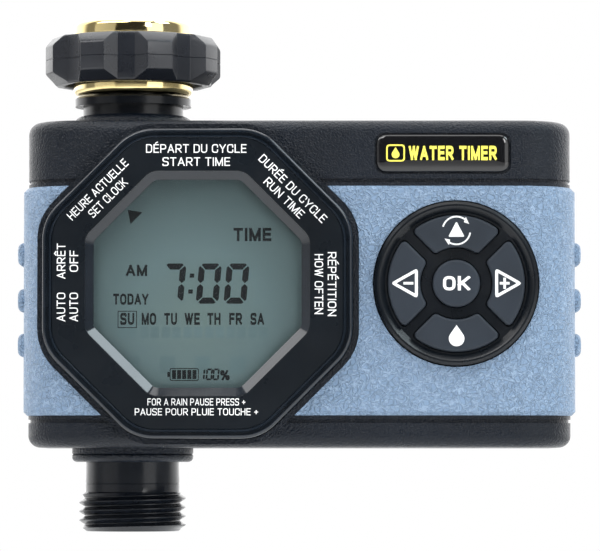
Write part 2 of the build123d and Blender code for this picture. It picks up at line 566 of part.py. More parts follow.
DOME_SPOTS = [(0.0, 0.0)]
DOME_SPOTS += [(KEY_CENTRE_R, 0.0), (0.0, KEY_CENTRE_R), (-KEY_CENTRE_R, 0.0), (0.0, -KEY_CENTRE_R)]
with BuildPart() as keypad_mat:
    with BuildSketch(front_plane(BOARD_Y, PAD_X, PAD_Z)):
        Circle(MAT_R)
    extrude(amount=MAT_T)
    for u, v in DOME_SPOTS:
        with BuildSketch(front_plane(BOARD_Y - MAT_T, PAD_X + u, PAD_Z + v)):
            Circle(DOME_R)
        with BuildSketch(front_plane(BOARD_Y - MAT_T - DOME_H, PAD_X + u, PAD_Z + v)):
            Circle(DOME_R - DOME_TAPER)
        loft()
keypad_mat.part.label = "keypad_mat"


def make_key(shape, flange, u, v):
    """One key: a cap through the plate, a flange behind it and a stem over its dome."""
    with BuildPart() as key:
        with BuildSketch(front_plane(PAD_BACK_Y + 0.05, PAD_X, PAD_Z)):
            add(shape)
        extrude(amount=PAD_BACK_Y + 0.05 - KEY_FRONT_Y)
        fillet(key.edges().group_by(Axis.Y)[0], KEY_EDGE_R)
        with BuildSketch(front_plane(KEY_FLANGE_Y, PAD_X, PAD_Z)):
            add(flange)
        extrude(amount=KEY_FLANGE_Y - PAD_BACK_Y - 0.05)
        with BuildSketch(front_plane(KEY_STEM_Y, PAD_X + u, PAD_Z + v)):
            Circle(KEY_STEM_R)
        extrude(amount=KEY_STEM_Y - KEY_FLANGE_Y)
    return key.part


keys = {}
for name, turn in (("key_next", 0), ("key_minus", 90), ("key_manual", 180), ("key_plus", 270)):
    u, v = KEY_CENTRE_R * cos(radians(turn + 90)), KEY_CENTRE_R * sin(radians(turn + 90))
    keys[name] = make_key(KEY_SHAPE.rotate(Axis.Z, turn), KEY_FLANGE.rotate(Axis.Z, turn), u, v)
    keys[name].label = name
with BuildSketch() as ok_shape:
    Circle(OK_R)
with BuildSketch() as ok_flange:
    Circle(OK_R + KEY_LIP)
keys["key_ok"] = make_key(ok_shape.sketch, ok_flange.sketch, 0, 0)
keys["key_ok"].label = "key_ok"

# ---------------------------------------------------------------- badge
with BuildPart() as badge:
    with BuildSketch(front_plane(HOUSING_FRONT + BADGE_SUNK, BADGE_X, BADGE_Z)):
        RectangleRounded(BADGE_L, BADGE_H, BADGE_R)
    extrude(amount=BADGE_T)
    fillet(badge.edges().group_by(Axis.Y)[0], BADGE_EDGE_R)
badge.part.label = "badge"

# ---------------------------------------------------------------- circuit board
with BuildPart() as circuit_board:
    with BuildSketch(front_plane(BOARD_Y + BOARD_T)):
        with Locations(((BOARD_LEFT + BOARD_RIGHT) / 2, (BOARD_BOTTOM + BOARD_TOP) / 2)):
            RectangleRounded(BOARD_RIGHT - BOARD_LEFT, BOARD_TOP - BOARD_BOTTOM, 3.0)
        with Locations(*BOARD_SCREWS):
            Circle(BOARD_HOLE_R, mode=Mode.SUBTRACT)
    extrude(amount=BOARD_T)
circuit_board.part.label = "circuit_board"

BOARD_BACK_Y = BOARD_Y + BOARD_T
with BuildPart() as board_screws:
    for x, z in BOARD_SCREWS:
        with BuildSketch(front_plane(BOARD_BACK_Y + 1.5, x, z)):
            Circle(2.5)
        extrude(amount=1.5)
        with BuildSketch(front_plane(BOARD_BACK_Y, x, z)):
            Circle(SCREW_SHANK_R)
        extrude(amount=BOARD_SCREW_L)
        with BuildSketch(front_plane(BOARD_BACK_Y + 1.5, x, z)):
            Rectangle(2.8, 0.6)
            Rectangle(0.6, 2.8)
        extrude(amount=0.8, mode=Mode.SUBTRACT)
board_screws.part.label = "board_screws"

with BuildPart() as microcontroller:
    with BuildSketch(front_plane(BOARD_BACK_Y + 1.4, 60, -50)):
        Rectangle(12, 12)
    extrude(amount=1.4)
    chamfer(microcontroller.edges().group_by(Axis.Y)[-1], 0.3)
    with BuildSketch(front_plane(BOARD_BACK_Y + 0.3, 60, -50)):
        with GridLocations(0.8 * 1.25, 0, 11, 1):
            Rectangle(0.4, 15)
        with GridLocations(0, 0.8 * 1.25, 1, 11):
            Rectangle(15, 0.4)
    extrude(amount=0.3)
microcontroller.part.label = "microcontroller"

with BuildPart() as capacitor:
    with BuildSketch(side_plane(70, -80)):
        with Locations((BOARD_BACK_Y + 4.1, 0)):
            Circle(4.0)
    extrude(amount=12)
    chamfer(capacitor.edges().group_by(Axis.X)[-1], 0.4)
capacitor.part.label = "capacitor"

with BuildPart() as wire_connector:
    with BuildSketch(front_plane(BOARD_BACK_Y + 5.6, 50, -80)):
        Rectangle(12, 6)
    extrude(amount=5.6)
    with BuildSketch(front_plane(BOARD_BACK_Y + 5.6, 50, -80)):
        with GridLocations(3.0, 0, 4, 1):
            Circle(0.75)
    extrude(amount=4.0, mode=Mode.SUBTRACT)
wire_connector.part.label = "wire_connector"

# ---------------------------------------------------------------- swivel nut and handwheel
with BuildSketch() as rib_outline:
    Circle(NUT_CORE_R)
    with PolarLocations((NUT_CORE_R + NUT_R) / 2 - 0.4, DRIVE_RIBS, start_angle=WHEEL_TURN):
        Rectangle(NUT_R - NUT_CORE_R + 0.6, DRIVE_RIB_W)

with BuildPart() as swivel_nut:
    with BuildSketch(Plane.XZ):
        with BuildLine():
            Polyline(
                (NUT_LIP_R, NUT_BOTTOM),
                (NUT_R - NUT_EDGE, NUT_BOTTOM),
                (NUT_R, NUT_BOTTOM + NUT_EDGE),
                (NUT_R, WHEEL_BOTTOM + HUB_DEPTH),
                (NUT_CORE_R, WHEEL_BOTTOM + HUB_DEPTH),
                (NUT_CORE_R, WHEEL_TOP),
                (NUT_R - 0.4, WHEEL_TOP),
                (NUT_R, WHEEL_TOP + 0.4),
                (NUT_R, NUT_TOP - 1.1),
                (NUT_R - 0.7, NUT_TOP - 0.2),
                (NUT_R - 1.0, NUT_TOP),
                (NUT_ROOT_R, NUT_TOP),
                (NUT_CREST_R, NUT_TOP - (NUT_ROOT_R - NUT_CREST_R)),
                *reversed(ring_thread(0.0, NUT_CREST_R, NUT_ROOT_R, NUT_ROOT_W, 4, 1)),
                (NUT_SEAT_R, 0.0),
                (NUT_SEAT_R, NUT_LIP_TOP),
                (NUT_LIP_R, NUT_LIP_TOP),
                close=True,
            )
        make_face()
    revolve(axis=Axis.Z)
    with BuildSketch(Plane.XY.offset(WHEEL_BOTTOM + DRIVE_RIB_END)):
        add(rib_outline.sketch)
        Circle(NUT_CORE_R - 0.3, mode=Mode.SUBTRACT)
    extrude(amount=WHEEL_TOP - WHEEL_BOTTOM - 2 * DRIVE_RIB_END)
swivel_nut.part.label = "swivel_nut"


with BuildPart() as handwheel:
    # eight grooves with flat floors and slanted sides leave eight flat grips between them
    with BuildSketch(Plane.XY.offset(WHEEL_BOTTOM)) as wheel_outline:
        with BuildLine():
            corners = []
            for groove in range(WHEEL_GROOVES):
                for r, angle in (
                    (WHEEL_R, -WHEEL_HALF),
                    (WHEEL_FLOOR_R, -WHEEL_FLOOR_HALF),
                    (WHEEL_FLOOR_R, WHEEL_FLOOR_HALF),
                    (WHEEL_R, WHEEL_HALF),
                ):
                    turned = radians(WHEEL_TURN + groove * 360 / WHEEL_GROOVES + angle)
                    corners.append((r * cos(turned), r * sin(turned)))
            Polyline(*corners, close=True)
        make_face()
        fillet(wheel_outline.vertices(), WHEEL_CORNER_R)
    extrude(amount=WHEEL_TOP - WHEEL_BOTTOM)
    # the grips slope in towards the top and the bottom
    with BuildSketch(Plane.XZ):
        with BuildLine():
            Polyline(
                (0, WHEEL_BOTTOM),
                (WHEEL_LOW_R, WHEEL_BOTTOM),
                (WHEEL_R, WHEEL_LOW_Z),
                (WHEEL_R, WHEEL_HIGH_Z),
                (WHEEL_HIGH_R, WHEEL_TOP),
                (0, WHEEL_TOP),
                close=True,
            )
        make_face()
    revolve(axis=Axis.Z, mode=Mode.INTERSECT)
    # hollow underside round the nut
    with BuildSketch(Plane.XY.offset(WHEEL_BOTTOM)):
        Circle(HUB_R)
    extrude(amount=HUB_DEPTH, mode=Mode.SUBTRACT)
    with BuildSketch(Plane.XY.offset(WHEEL_BOTTOM)):
        Circle(NUT_CORE_R)
    extrude(amount=WHEEL_TOP - WHEEL_BOTTOM, mode=Mode.SUBTRACT)
    with BuildSketch(Plane.XY.offset(WHEEL_BOTTOM + DRIVE_RIB_END)):
        add(rib_outline.sketch)
    extrude(amount=WHEEL_TOP - WHEEL_BOTTOM - 2 * DRIVE_RIB_END, mode=Mode.SUBTRACT)
handwheel.part.label = "handwheel"

# ---------------------------------------------------------------- inlet spout
SPOUT_RING_Z = -25.0
with BuildPart() as inlet_spout:
    with BuildSketch(Plane.XZ):
        with BuildLine():
            Polyline(
                (SPOUT_BORE_R, SPOUT_END_Z),
                (SPOUT_TUBE_R - 0.5, SPOUT_END_Z),
                (SPOUT_TUBE_R, SPOUT_END_Z + 0.5),
                (SPOUT_TUBE_R, SPOUT_RING_Z - RING_SEAT_HALF),
                (RING_SEAT_R, SPOUT_RING_Z - RING_SEAT_HALF),
                (RING_SEAT_R, SPOUT_RING_Z + RING_SEAT_HALF),
                (SPOUT_TUBE_R, SPOUT_RING_Z + RING_SEAT_HALF),
                (SPOUT_TUBE_R, DOME_RING_TOP),
                (SPOUT_NECK_R, DOME_RING_TOP),
                (SPOUT_NECK_R, SPOUT_FLANGE_BOTTOM),
                (SPOUT_FLANGE_R, SPOUT_FLANGE_BOTTOM),
                (SPOUT_FLANGE_R, SPOUT_FLANGE_TOP - SPOUT_FLANGE_EDGE),
                (SPOUT_FLANGE_R - SPOUT_FLANGE_EDGE, SPOUT_FLANGE_TOP),
                (SPOUT_TUBE_R, SPOUT_FLANGE_TOP),
                (SPOUT_TUBE_R, SPOUT_HEAD_BOTTOM),
                (SPOUT_HEAD_R, SPOUT_HEAD_BOTTOM),
                (SPOUT_HEAD_R, SPOUT_HEAD_TOP),
                (SCREEN_SEAT_R, SPOUT_HEAD_TOP),
                (SCREEN_SEAT_R, SPOUT_HEAD_TOP - SCREEN_SEAT_D),
                (SPOUT_BORE_R, SPOUT_HEAD_TOP - SCREEN_SEAT_D),
                close=True,
            )
        make_face()
    revolve(axis=Axis.Z)
inlet_spout.part.label = "inlet_spout"

with BuildPart() as filter_screen:
    # rim and a tapered basket of fine mesh
    with BuildSketch(Plane.XZ):
        with BuildLine():
            Polyline(
                (9.2, SPOUT_HEAD_TOP),
                (9.2, SPOUT_HEAD_TOP - 0.75),
                (7.2, SPOUT_HEAD_TOP - 0.75),
                (4.6, -14.0),
                (0, -14.6),
                (0, -14.1),
                (4.2, -13.5),
                (6.8, SPOUT_HEAD_TOP),
                close=True,
            )
        make_face()
    revolve(axis=Axis.Z)
filter_screen.part.label = "filter_screen"

with BuildPart() as hose_washer:
    with BuildSketch(Plane.XZ):
        with Locations(((WASHER_R + WASHER_IN_R) / 2, SPOUT_HEAD_TOP / 2)):
            RectangleRounded(WASHER_R - WASHER_IN_R, -SPOUT_HEAD_TOP, 0.4)
    revolve(axis=Axis.Z)
hose_washer.part.label = "hose_washer"

# ---------------------------------------------------------------- outlet spout
OUTLET_RING_Z = -88.4
SPOUT_CREST_W = THREAD_PITCH - 2 * (SPOUT_CREST_R - SPOUT_ROOT_R) * FLANK_TAN - SPOUT_ROOT_W
CREST_START = OUTLET_THREAD_TOP - (SPOUT_CREST_R - SPOUT_ROOT_R) * FLANK_TAN
CREST_END = CREST_START - (CREST_COUNT - 1) * THREAD_PITCH - SPOUT_CREST_W
with BuildPart() as outlet_spout:
    with BuildSketch(Plane.XZ):
        with BuildLine():
            Polyline(
                (SPOUT_BORE_R, OUTLET_TOP_Z),
                (SPOUT_TUBE_R - 0.5, OUTLET_TOP_Z),
                (SPOUT_TUBE_R, OUTLET_TOP_Z - 0.5),
                (SPOUT_TUBE_R, OUTLET_RING_Z + RING_SEAT_HALF),
                (RING_SEAT_R, OUTLET_RING_Z + RING_SEAT_HALF),
                (RING_SEAT_R, OUTLET_RING_Z - RING_SEAT_HALF),
                (SPOUT_TUBE_R, OUTLET_RING_Z - RING_SEAT_HALF),
                (SPOUT_TUBE_R, BOSS_RING_BOTTOM),
                (OUTLET_NECK_R, BOSS_RING_BOTTOM),
                (OUTLET_NECK_R, OUTLET_THREAD_TOP),
                (SPOUT_ROOT_R, OUTLET_THREAD_TOP),
                *ring_thread(CREST_START, SPOUT_CREST_R, SPOUT_ROOT_R, SPOUT_ROOT_W, CREST_COUNT, -1),
                (SPOUT_ROOT_R, CREST_END - (SPOUT_CREST_R - SPOUT_ROOT_R) * FLANK_TAN),
                (SPOUT_ROOT_R, OUTLET_END_Z + 0.5),
                (SPOUT_ROOT_R - 0.5, OUTLET_END_Z),
                (SPOUT_BORE_R + 0.3, OUTLET_END_Z),
                (SPOUT_BORE_R, OUTLET_END_Z + 0.3),
                close=True,
            )
        make_face()
    revolve(axis=Axis.Z)
outlet_spout.part.label = "outlet_spout"

spout_rings = {}
for name, z in (("inlet_o_ring", SPOUT_RING_Z), ("outlet_o_ring", OUTLET_RING_Z)):
    with BuildPart() as ring:
        with BuildSketch(Plane.XZ):
            with Locations((RING_R, z)):
                Circle(RING_WIRE_R)
        revolve(axis=Axis.Z)
    ring.part.label = name
    spout_rings[name] = ring.part

# ---------------------------------------------------------------- valve body
PORT_TOP = VALVE_Z + CHAMBER_R - 0.4
PORT_BOTTOM = VALVE_Z + SEAT_R + 0.4
FLANGE_X0 = 10.4
with BuildPart() as valve_body:
    with BuildSketch(Plane.XY.offset(SPOUT_END_Z - 1.0)):
        Circle(SOCKET_R)
    extrude(amount=HOUSING_TOP - WALL - SPOUT_END_Z + 0.8)
    with BuildSketch(Plane.XY.offset(OUTLET_TOP_Z + 1.0)):
        Circle(SOCKET_R)
    extrude(amount=HOUSING_BOTTOM + WALL - OUTLET_TOP_Z - 0.8)
    with BuildSketch(Plane.XY.offset(OUTLET_TOP_Z)):
        Circle(PIPE_R)
    extrude(amount=SPOUT_END_Z - OUTLET_TOP_Z)
    with BuildSketch(side_plane(0)):
        Circle(CHAMBER_R + 2.6)
    extrude(amount=FLANGE_X0)
    with BuildSketch(side_plane(FLANGE_X0)):
        RectangleRounded(2 * FLANGE_HALF, 2 * FLANGE_HALF, FLANGE_CORNER_R)
    extrude(amount=CHAMBER_X1 - FLANGE_X0)
    # annular chamber round the seat
    with BuildSketch(side_plane(CHAMBER_X0)):
        Circle(CHAMBER_R)
        Circle(SEAT_R, mode=Mode.SUBTRACT)
    extrude(amount=CHAMBER_X1 - CHAMBER_X0, mode=Mode.SUBTRACT)
    with BuildSketch(side_plane(SEAT_X)):
        Circle(SEAT_R + 0.1)
    extrude(amount=CHAMBER_X1 - SEAT_X, mode=Mode.SUBTRACT)
    with BuildSketch(side_plane(0)):
        Circle(SEAT_BORE_R)
    extrude(amount=CHAMBER_X1, mode=Mode.SUBTRACT)
    # water ways: tap side down to the chamber, seat down to the hose side
    with BuildSketch(Plane.XY.offset(PORT_BOTTOM)):
        Circle(SPOUT_BORE_R)
    extrude(amount=SPOUT_END_Z - PORT_BOTTOM, mode=Mode.SUBTRACT)
    with BuildSketch(side_plane(0, (PORT_TOP + PORT_BOTTOM) / 2)):
        Rectangle(11.0, PORT_TOP - PORT_BOTTOM)
    extrude(amount=CHAMBER_X0 + 1.0, mode=Mode.SUBTRACT)
    with BuildSketch(Plane.XY.offset(OUTLET_TOP_Z)):
        Circle(OUTLET_BORE_R)
    extrude(amount=VALVE_Z - OUTLET_TOP_Z, mode=Mode.SUBTRACT)
    for start, depth in ((SPOUT_END_Z, 40.0), (OUTLET_TOP_Z, -40.0)):
        with BuildSketch(Plane.XY.offset(start)):
            Circle(SOCKET_BORE_R)
        extrude(amount=depth, mode=Mode.SUBTRACT)
    for y in (-BONNET_SCREW_OFFSET, BONNET_SCREW_OFFSET):
        for z in (-BONNET_SCREW_OFFSET, BONNET_SCREW_OFFSET):
            with BuildSketch(side_plane(CHAMBER_X1)):
                with Locations((y, z)):
                    Circle(SCREW_PILOT_R)
            extrude(amount=-PILOT_DEPTH, mode=Mode.SUBTRACT)
valve_body.part.label = "valve_body"

# ---------------------------------------------------------------- bonnet and diaphragm
WATER_AXIS = Axis((0, 0, VALVE_Z), (1, 0, 0))


def axial_plane():
    """A plane through the solenoid's axis: its x is along the axis, its y is the radius."""
    return Plane(origin=(0, 0, VALVE_Z), x_dir=(1, 0, 0), z_dir=(0, -1, 0))


ROOF_X = 20.9
with BuildPart() as valve_bonnet:
    with BuildSketch(side_plane(CHAMBER_X1)):
        RectangleRounded(2 * FLANGE_HALF, 2 * FLANGE_HALF, FLANGE_CORNER_R)
    extrude(amount=4.0)
    with BuildSketch(axial_plane()):
        with BuildLine():
            Polyline(
                (CHAMBER_X1 + 3.0, 0),
                (CHAMBER_X1 + 3.0, 13.4),
                (BONNET_X1, 12.6),
                (BONNET_X1, 6.6),
                (BOBBIN_X0 - YOKE_T - 0.2, 6.2),
                (BOBBIN_X0 - YOKE_T - 0.2, 0),
                close=True,
            )
        make_face()
    revolve(axis=WATER_AXIS)
    with BuildSketch(axial_plane()):
        with BuildLine():
            Polyline(
                (CHAMBER_X1, 0),
                (CHAMBER_X1, DIAPHRAGM_R),
                (CHAMBER_X1 + DIAPHRAGM_T, DIAPHRAGM_R),
                (CHAMBER_X1 + DIAPHRAGM_T, CHAMBER_R),
                (ROOF_X, CHAMBER_R - 1.0),
                (ROOF_X, 0.8),
                (GUIDE_X0, 0.8),
                (GUIDE_X0, GUIDE_OUT_R),
                (BOBBIN_X0, GUIDE_OUT_R),
                (BOBBIN_X0, 0),
                close=True,
            )
        make_face()
    revolve(axis=WATER_AXIS, mode=Mode.SUBTRACT)
    for y in (-BONNET_SCREW_OFFSET, BONNET_SCREW_OFFSET):
        for z in (-BONNET_SCREW_OFFSET, BONNET_SCREW_OFFSET):
            with BuildSketch(side_plane(CHAMBER_X1 - 1)):
                with Locations((y, z)):
                    Circle(1.5)
            extrude(amount=10, mode=Mode.SUBTRACT)
            with BuildSketch(side_plane(CHAMBER_X1 + 3.4)):
                with Locations((y, z)):
                    Circle(2.9)
            extrude(amount=10, mode=Mode.SUBTRACT)
valve_bonnet.part.label = "valve_bonnet"

with BuildPart() as bonnet_screws:
    for y in (-BONNET_SCREW_OFFSET, BONNET_SCREW_OFFSET):
        for z in (-BONNET_SCREW_OFFSET, BONNET_SCREW_OFFSET):
            with BuildSketch(side_plane(CHAMBER_X1 + 3.4)):
                with Locations((y, z)):
                    Circle(2.5)
            extrude(amount=1.8)
            with BuildSketch(side_plane(CHAMBER_X1 - 4.0)):
                with Locations((y, z)):
                    Circle(SCREW_SHANK_R)
            extrude(amount=7.4)
            with BuildSketch(side_plane(CHAMBER_X1 + 5.2)):
                with Locations((y, z)):
                    Rectangle(2.8, 0.6)
                    Rectangle(0.6, 2.8)
            extrude(amount=-0.9, mode=Mode.SUBTRACT)
bonnet_screws.part.label = "bonnet_screws"

with BuildPart() as diaphragm:
    # clamped bead, thin rolling web and the thick middle that closes the seat
    with BuildSketch(axial_plane()):
        with BuildLine():
            Polyline(
                (SEAT_X, 0),
                (SEAT_X, SEAT_R - 0.1),
                (CHAMBER_X1 + 0.3, SEAT_R - 0.1),
                (CHAMBER_X1 + 0.3, CHAMBER_R),
                (CHAMBER_X1, CHAMBER_R + 0.2),
                (CHAMBER_X1, DIAPHRAGM_R),
                (CHAMBER_X1 + DIAPHRAGM_T, DIAPHRAGM_R),
                (CHAMBER_X1 + DIAPHRAGM_T, CHAMBER_R),
                (CHAMBER_X1 + 1.2, CHAMBER_R - 0.3),
                (CHAMBER_X1 + 1.2, 0),
                close=True,
            )
        make_face()
    revolve(axis=WATER_AXIS)
diaphragm.part.label = "diaphragm"

PLATE_X0 = CHAMBER_X1 + 1.2
with BuildPart() as diaphragm_plate:
    with BuildSketch(side_plane(PLATE_X0)):
        Circle(6.8)
        Circle(1.0, mode=Mode.SUBTRACT)
    extrude(amount=1.1)
    chamfer(diaphragm_plate.edges().group_by(Axis.X)[-1], 0.3)
diaphragm_plate.part.label = "diaphragm_plate"


def coil_spring(start_x, length, mean_r, wire_r, turns):
    """A compression spring along the solenoid's axis, from start_x."""
    with BuildLine() as coil:
        Helix(
            pitch=(length - 2 * wire_r) / turns,
            height=length - 2 * wire_r,
            radius=mean_r,
            center=(start_x + wire_r, 0, VALVE_Z),
            direction=(1, 0, 0),
        )
    with BuildPart() as spring:
        with BuildSketch(Plane(origin=coil.line @ 0, z_dir=coil.line % 0)):
            Circle(wire_r)
        sweep(path=coil.line, is_frenet=True)
    return spring.part


diaphragm_spring = coil_spring(PLATE_X0 + 1.15, ROOF_X - PLATE_X0 - 1.2, 4.4, 0.3, 2.5)
diaphragm_spring.label = "diaphragm_spring"

# ---------------------------------------------------------------- solenoid
with BuildPart() as plunger_guide:
    with BuildSketch(side_plane(GUIDE_X0)):
        Circle(GUIDE_OUT_R)
        Circle(GUIDE_IN_R, mode=Mode.SUBTRACT)
    extrude(amount=GUIDE_X1 - GUIDE_X0)
plunger_guide.part.label = "plunger_guide"

with BuildPart() as plunger:
    with BuildSketch(axial_plane()):
        with BuildLine():
            Polyline(
                (PLUNGER_X0, 0),
                (PLUNGER_X0, PLUNGER_R),
                (PLUNGER_X1 - 4.0, PLUNGER_R),
                (PLUNGER_X1 - 4.0, 1.9),
                (PLUNGER_X1, 1.9),
                (PLUNGER_X1, 0),
                close=True,
            )
        make_face()
    revolve(axis=WATER_AXIS)
plunger.part.label = "plunger"

with BuildPart() as plunger_seal:
    with BuildSketch(side_plane(GUIDE_X0)):
        Circle(2.0)
    extrude(amount=PLUNGER_X0 - GUIDE_X0)
plunger_seal.part.label = "plunger_seal"

plunger_spring = coil_spring(PLUNGER_X1 - 3.95, CORE_X0 - PLUNGER_X1 + 3.9, 2.55, 0.25, 5)
plunger_spring.label = "plunger_spring"

with BuildPart() as pole_piece:
    with BuildSketch(axial_plane()):
        with BuildLine():
            Polyline(
                (CORE_X0, 0),
                (CORE_X0, GUIDE_IN_R),
                (GUIDE_X1, GUIDE_IN_R),
                (GUIDE_X1, 2.5),
                (CORE_X1, 2.5),
                (CORE_X1, 0),
                close=True,
            )
        make_face()
    revolve(axis=WATER_AXIS)
pole_piece.part.label = "pole_piece"

with BuildPart() as coil_bobbin:
    with BuildSketch(axial_plane()):
        with BuildLine():
            Polyline(
                (BOBBIN_X0, GUIDE_OUT_R),
                (BOBBIN_X0, BOBBIN_R),
                (BOBBIN_X0 + 1, BOBBIN_R),
                (BOBBIN_X0 + 1, 5.2),
                (BOBBIN_X1 - 1, 5.2),
                (BOBBIN_X1 - 1, BOBBIN_R),
                (BOBBIN_X1, BOBBIN_R),
                (BOBBIN_X1, GUIDE_OUT_R),
                close=True,
            )
        make_face()
    revolve(axis=WATER_AXIS)
coil_bobbin.part.label = "coil_bobbin"

with BuildPart() as coil_winding:
    with BuildSketch(side_plane(BOBBIN_X0 + 1)):
        Circle(COIL_R)
        Circle(5.2, mode=Mode.SUBTRACT)
    extrude(amount=BOBBIN_X1 - BOBBIN_X0 - 2)
coil_winding.part.label = "coil_winding"

with BuildPart() as solenoid_yoke:
    for x in (BOBBIN_X0 - YOKE_T, BOBBIN_X1):
        with BuildSketch(side_plane(x)):
            Rectangle(2 * YOKE_HALF, 2 * YOKE_HALF)
            Circle(GUIDE_OUT_R, mode=Mode.SUBTRACT)
        extrude(amount=YOKE_T)
    with BuildSketch(side_plane(BOBBIN_X0 - YOKE_T)):
        with Locations((-YOKE_HALF - YOKE_T / 2, 0)):
            Rectangle(YOKE_T, 2 * YOKE_HALF)
    extrude(amount=BOBBIN_X1 - BOBBIN_X0 + 2 * YOKE_T)
solenoid_yoke.part.label = "solenoid_yoke"

with BuildPart() as solenoid_nut:
    with BuildSketch(side_plane(GUIDE_X1 + 0.1)):
        RegularPolygon(4.6, 6)
        Circle(2.5, mode=Mode.SUBTRACT)
    extrude(amount=2.4)
solenoid_nut.part.label = "solenoid_nut"

# ---------------------------------------------------------------- batteries, contacts, wires
cells = {}
for name, z, out in (("cell_upper", CELL_Z[0], 1), ("cell_lower", CELL_Z[1], -1)):
    middle_x = (BAY_LEFT + BAY_RIGHT) / 2
    flat_x = middle_x - out * CELL_L / 2
    with BuildPart() as cell:
        with BuildSketch(Plane(origin=(flat_x, CELL_Y, z), x_dir=(0, 1, 0), z_dir=(out, 0, 0))):
            Circle(CELL_R)
        extrude(amount=CELL_L)
        fillet(cell.edges(), 0.5)
        with BuildSketch(
            Plane(origin=(flat_x + out * CELL_L, CELL_Y, z), x_dir=(0, 1, 0), z_dir=(out, 0, 0))
        ):
            Circle(CELL_NIPPLE_R)
        extrude(amount=CELL_NIPPLE_L)
    cell.part.label = name
    cells[name] = cell.part

CONTACT_T = 0.4
with BuildPart() as battery_contacts:
    for x, sign in ((BAY_LEFT, 1), (BAY_RIGHT, -1)):
        with BuildSketch(Plane(origin=(x, CELL_Y, 0), x_dir=(0, 1, 0), z_dir=(sign, 0, 0))):
            for z in CELL_Z:
                with Locations((0, sign * z)):
                    Rectangle(11, 12)
        extrude(amount=CONTACT_T)
battery_contacts.part.label = "battery_contacts"

with BuildPart() as battery_springs:
    for x, z, sign in (
        (BAY_LEFT + CONTACT_T, CELL_Z[0], 1),
        (BAY_RIGHT - CONTACT_T, CELL_Z[1], -1),
    ):
        gap = (BAY_RIGHT - BAY_LEFT - CELL_L) / 2 - CONTACT_T
        with BuildSketch(Plane(origin=(x, CELL_Y, z), x_dir=(0, 1, 0), z_dir=(sign, 0, 0))):
            Circle(4.6)
            Circle(3.6, mode=Mode.SUBTRACT)
        extrude(amount=0.9)
        with BuildSketch(Plane(origin=(x, CELL_Y, z), x_dir=(0, 1, 0), z_dir=(sign, 0, 0)).offset(0.9)):
            Circle(3.9)
            Circle(2.9, mode=Mode.SUBTRACT)
        extrude(amount=gap - 0.95)
battery_springs.part.label = "battery_springs"


def wire(route, bend_r, wire_r=0.6):
    """An insulated wire along straight runs joined by bends."""
    with BuildLine() as centre:
        FilletPolyline(*route, radius=bend_r)
    with BuildPart() as lead:
        with BuildSketch(Plane(origin=centre.line @ 0, z_dir=centre.line % 0)):
            Circle(wire_r)
        sweep(path=centre.line, transition=Transition.ROUND)
    return lead.part


PLUG_Y = BOARD_BACK_Y + 5.6
PLUG_Z = -80.0
with BuildPart() as solenoid_wires:
    for x, coil_x in ((45.5, 35.0), (48.5, 38.0)):
        add(
            wire(
                [
                    (coil_x, 0, VALVE_Z - COIL_R - 0.65),
                    (coil_x, 0, -72.0),
                    (x, -4.0, -76.0),
                    (x, -4.0, PLUG_Z),
                    (x, PLUG_Y - 3.5, PLUG_Z),
                ],
                1.6,
            )
        )
solenoid_wires.part.label = "solenoid_wires"

with BuildPart() as battery_wires:
    for x, z in ((51.5, -66.0), (54.5, -60.0)):
        add(
            wire(
                [
                    (x, PLUG_Y - 3.5, PLUG_Z),
                    (x, 0.0, PLUG_Z),
                    (x, 6.0, PLUG_Z + 8.0),
                    (x, 6.0, z),
                    (x, BAY_FLOOR_Y - BAY_WALL - 0.05, z),
                ],
                1.6,
            )
        )
battery_wires.part.label = "battery_wires"

# ---------------------------------------------------------------- battery door
BAY_X, BAY_Z = (BAY_LEFT + BAY_RIGHT) / 2, (BAY_BOTTOM + BAY_TOP) / 2
BAY_W, BAY_H = BAY_RIGHT - BAY_LEFT, BAY_TOP - BAY_BOTTOM
DOOR_INNER_Y = DOOR_SEAT_Y + 0.1
HINGE_RUN = 0.07
with BuildPart() as battery_door:
    with BuildSketch(front_plane(DOOR_INNER_Y + DOOR_T, BAY_X, BAY_Z)):
        RectangleRounded(
            BAY_W + 2 * (DOOR_LEDGE - DOOR_GAP), BAY_H + 2 * (DOOR_LEDGE - DOOR_GAP), 1.8
        )
    extrude(amount=DOOR_T)
    # rib inside the bay's mouth, grip ridges outside
    with BuildSketch(front_plane(DOOR_INNER_Y, BAY_X, BAY_Z)):
        Rectangle(BAY_W - 3.0, BAY_H - 5.0)
        Rectangle(BAY_W - 5.0, BAY_H - 7.0, mode=Mode.SUBTRACT)
    extrude(amount=1.4)
    with BuildSketch(front_plane(DOOR_INNER_Y + DOOR_T + 0.5, BAY_X, BAY_BOTTOM + 1.6)):
        with GridLocations(0, 2.0, 1, 3):
            SlotOverall(16, 0.9)
    extrude(amount=0.6)
    for x, length in KNUCKLES:
        with BuildSketch(HINGE_PLANE.offset(x - length / 2)):
            Circle(HINGE_R)
            with Locations((-DOOR_T / 2, -1.6)):
                Rectangle(DOOR_T, 3.2)
            Circle(HINGE_PIN_R + HINGE_RUN, mode=Mode.SUBTRACT)
        extrude(amount=length)
battery_door.part.label = "battery_door"

with BuildPart() as door_hinge_pin:
    with BuildSketch(HINGE_PLANE.offset(LUGS[0][0] - LUGS[0][1] / 2 + 0.2)):
        Circle(HINGE_PIN_R)
    extrude(amount=LUGS[-1][0] - LUGS[0][0] + LUGS[0][1] - 0.4)
door_hinge_pin.part.label = "door_hinge_pin"

with BuildPart() as door_gasket:
    with BuildSketch(front_plane(DOOR_SEAT_Y + 0.05, BAY_X, BAY_Z)):
        RectangleRounded(BAY_W + 3.8, BAY_H + 3.8, 2.0)
        RectangleRounded(BAY_W + 1.6, BAY_H + 1.6, 0.9, mode=Mode.SUBTRACT)
    extrude(amount=0.85)
door_gasket.part.label = "door_gasket"

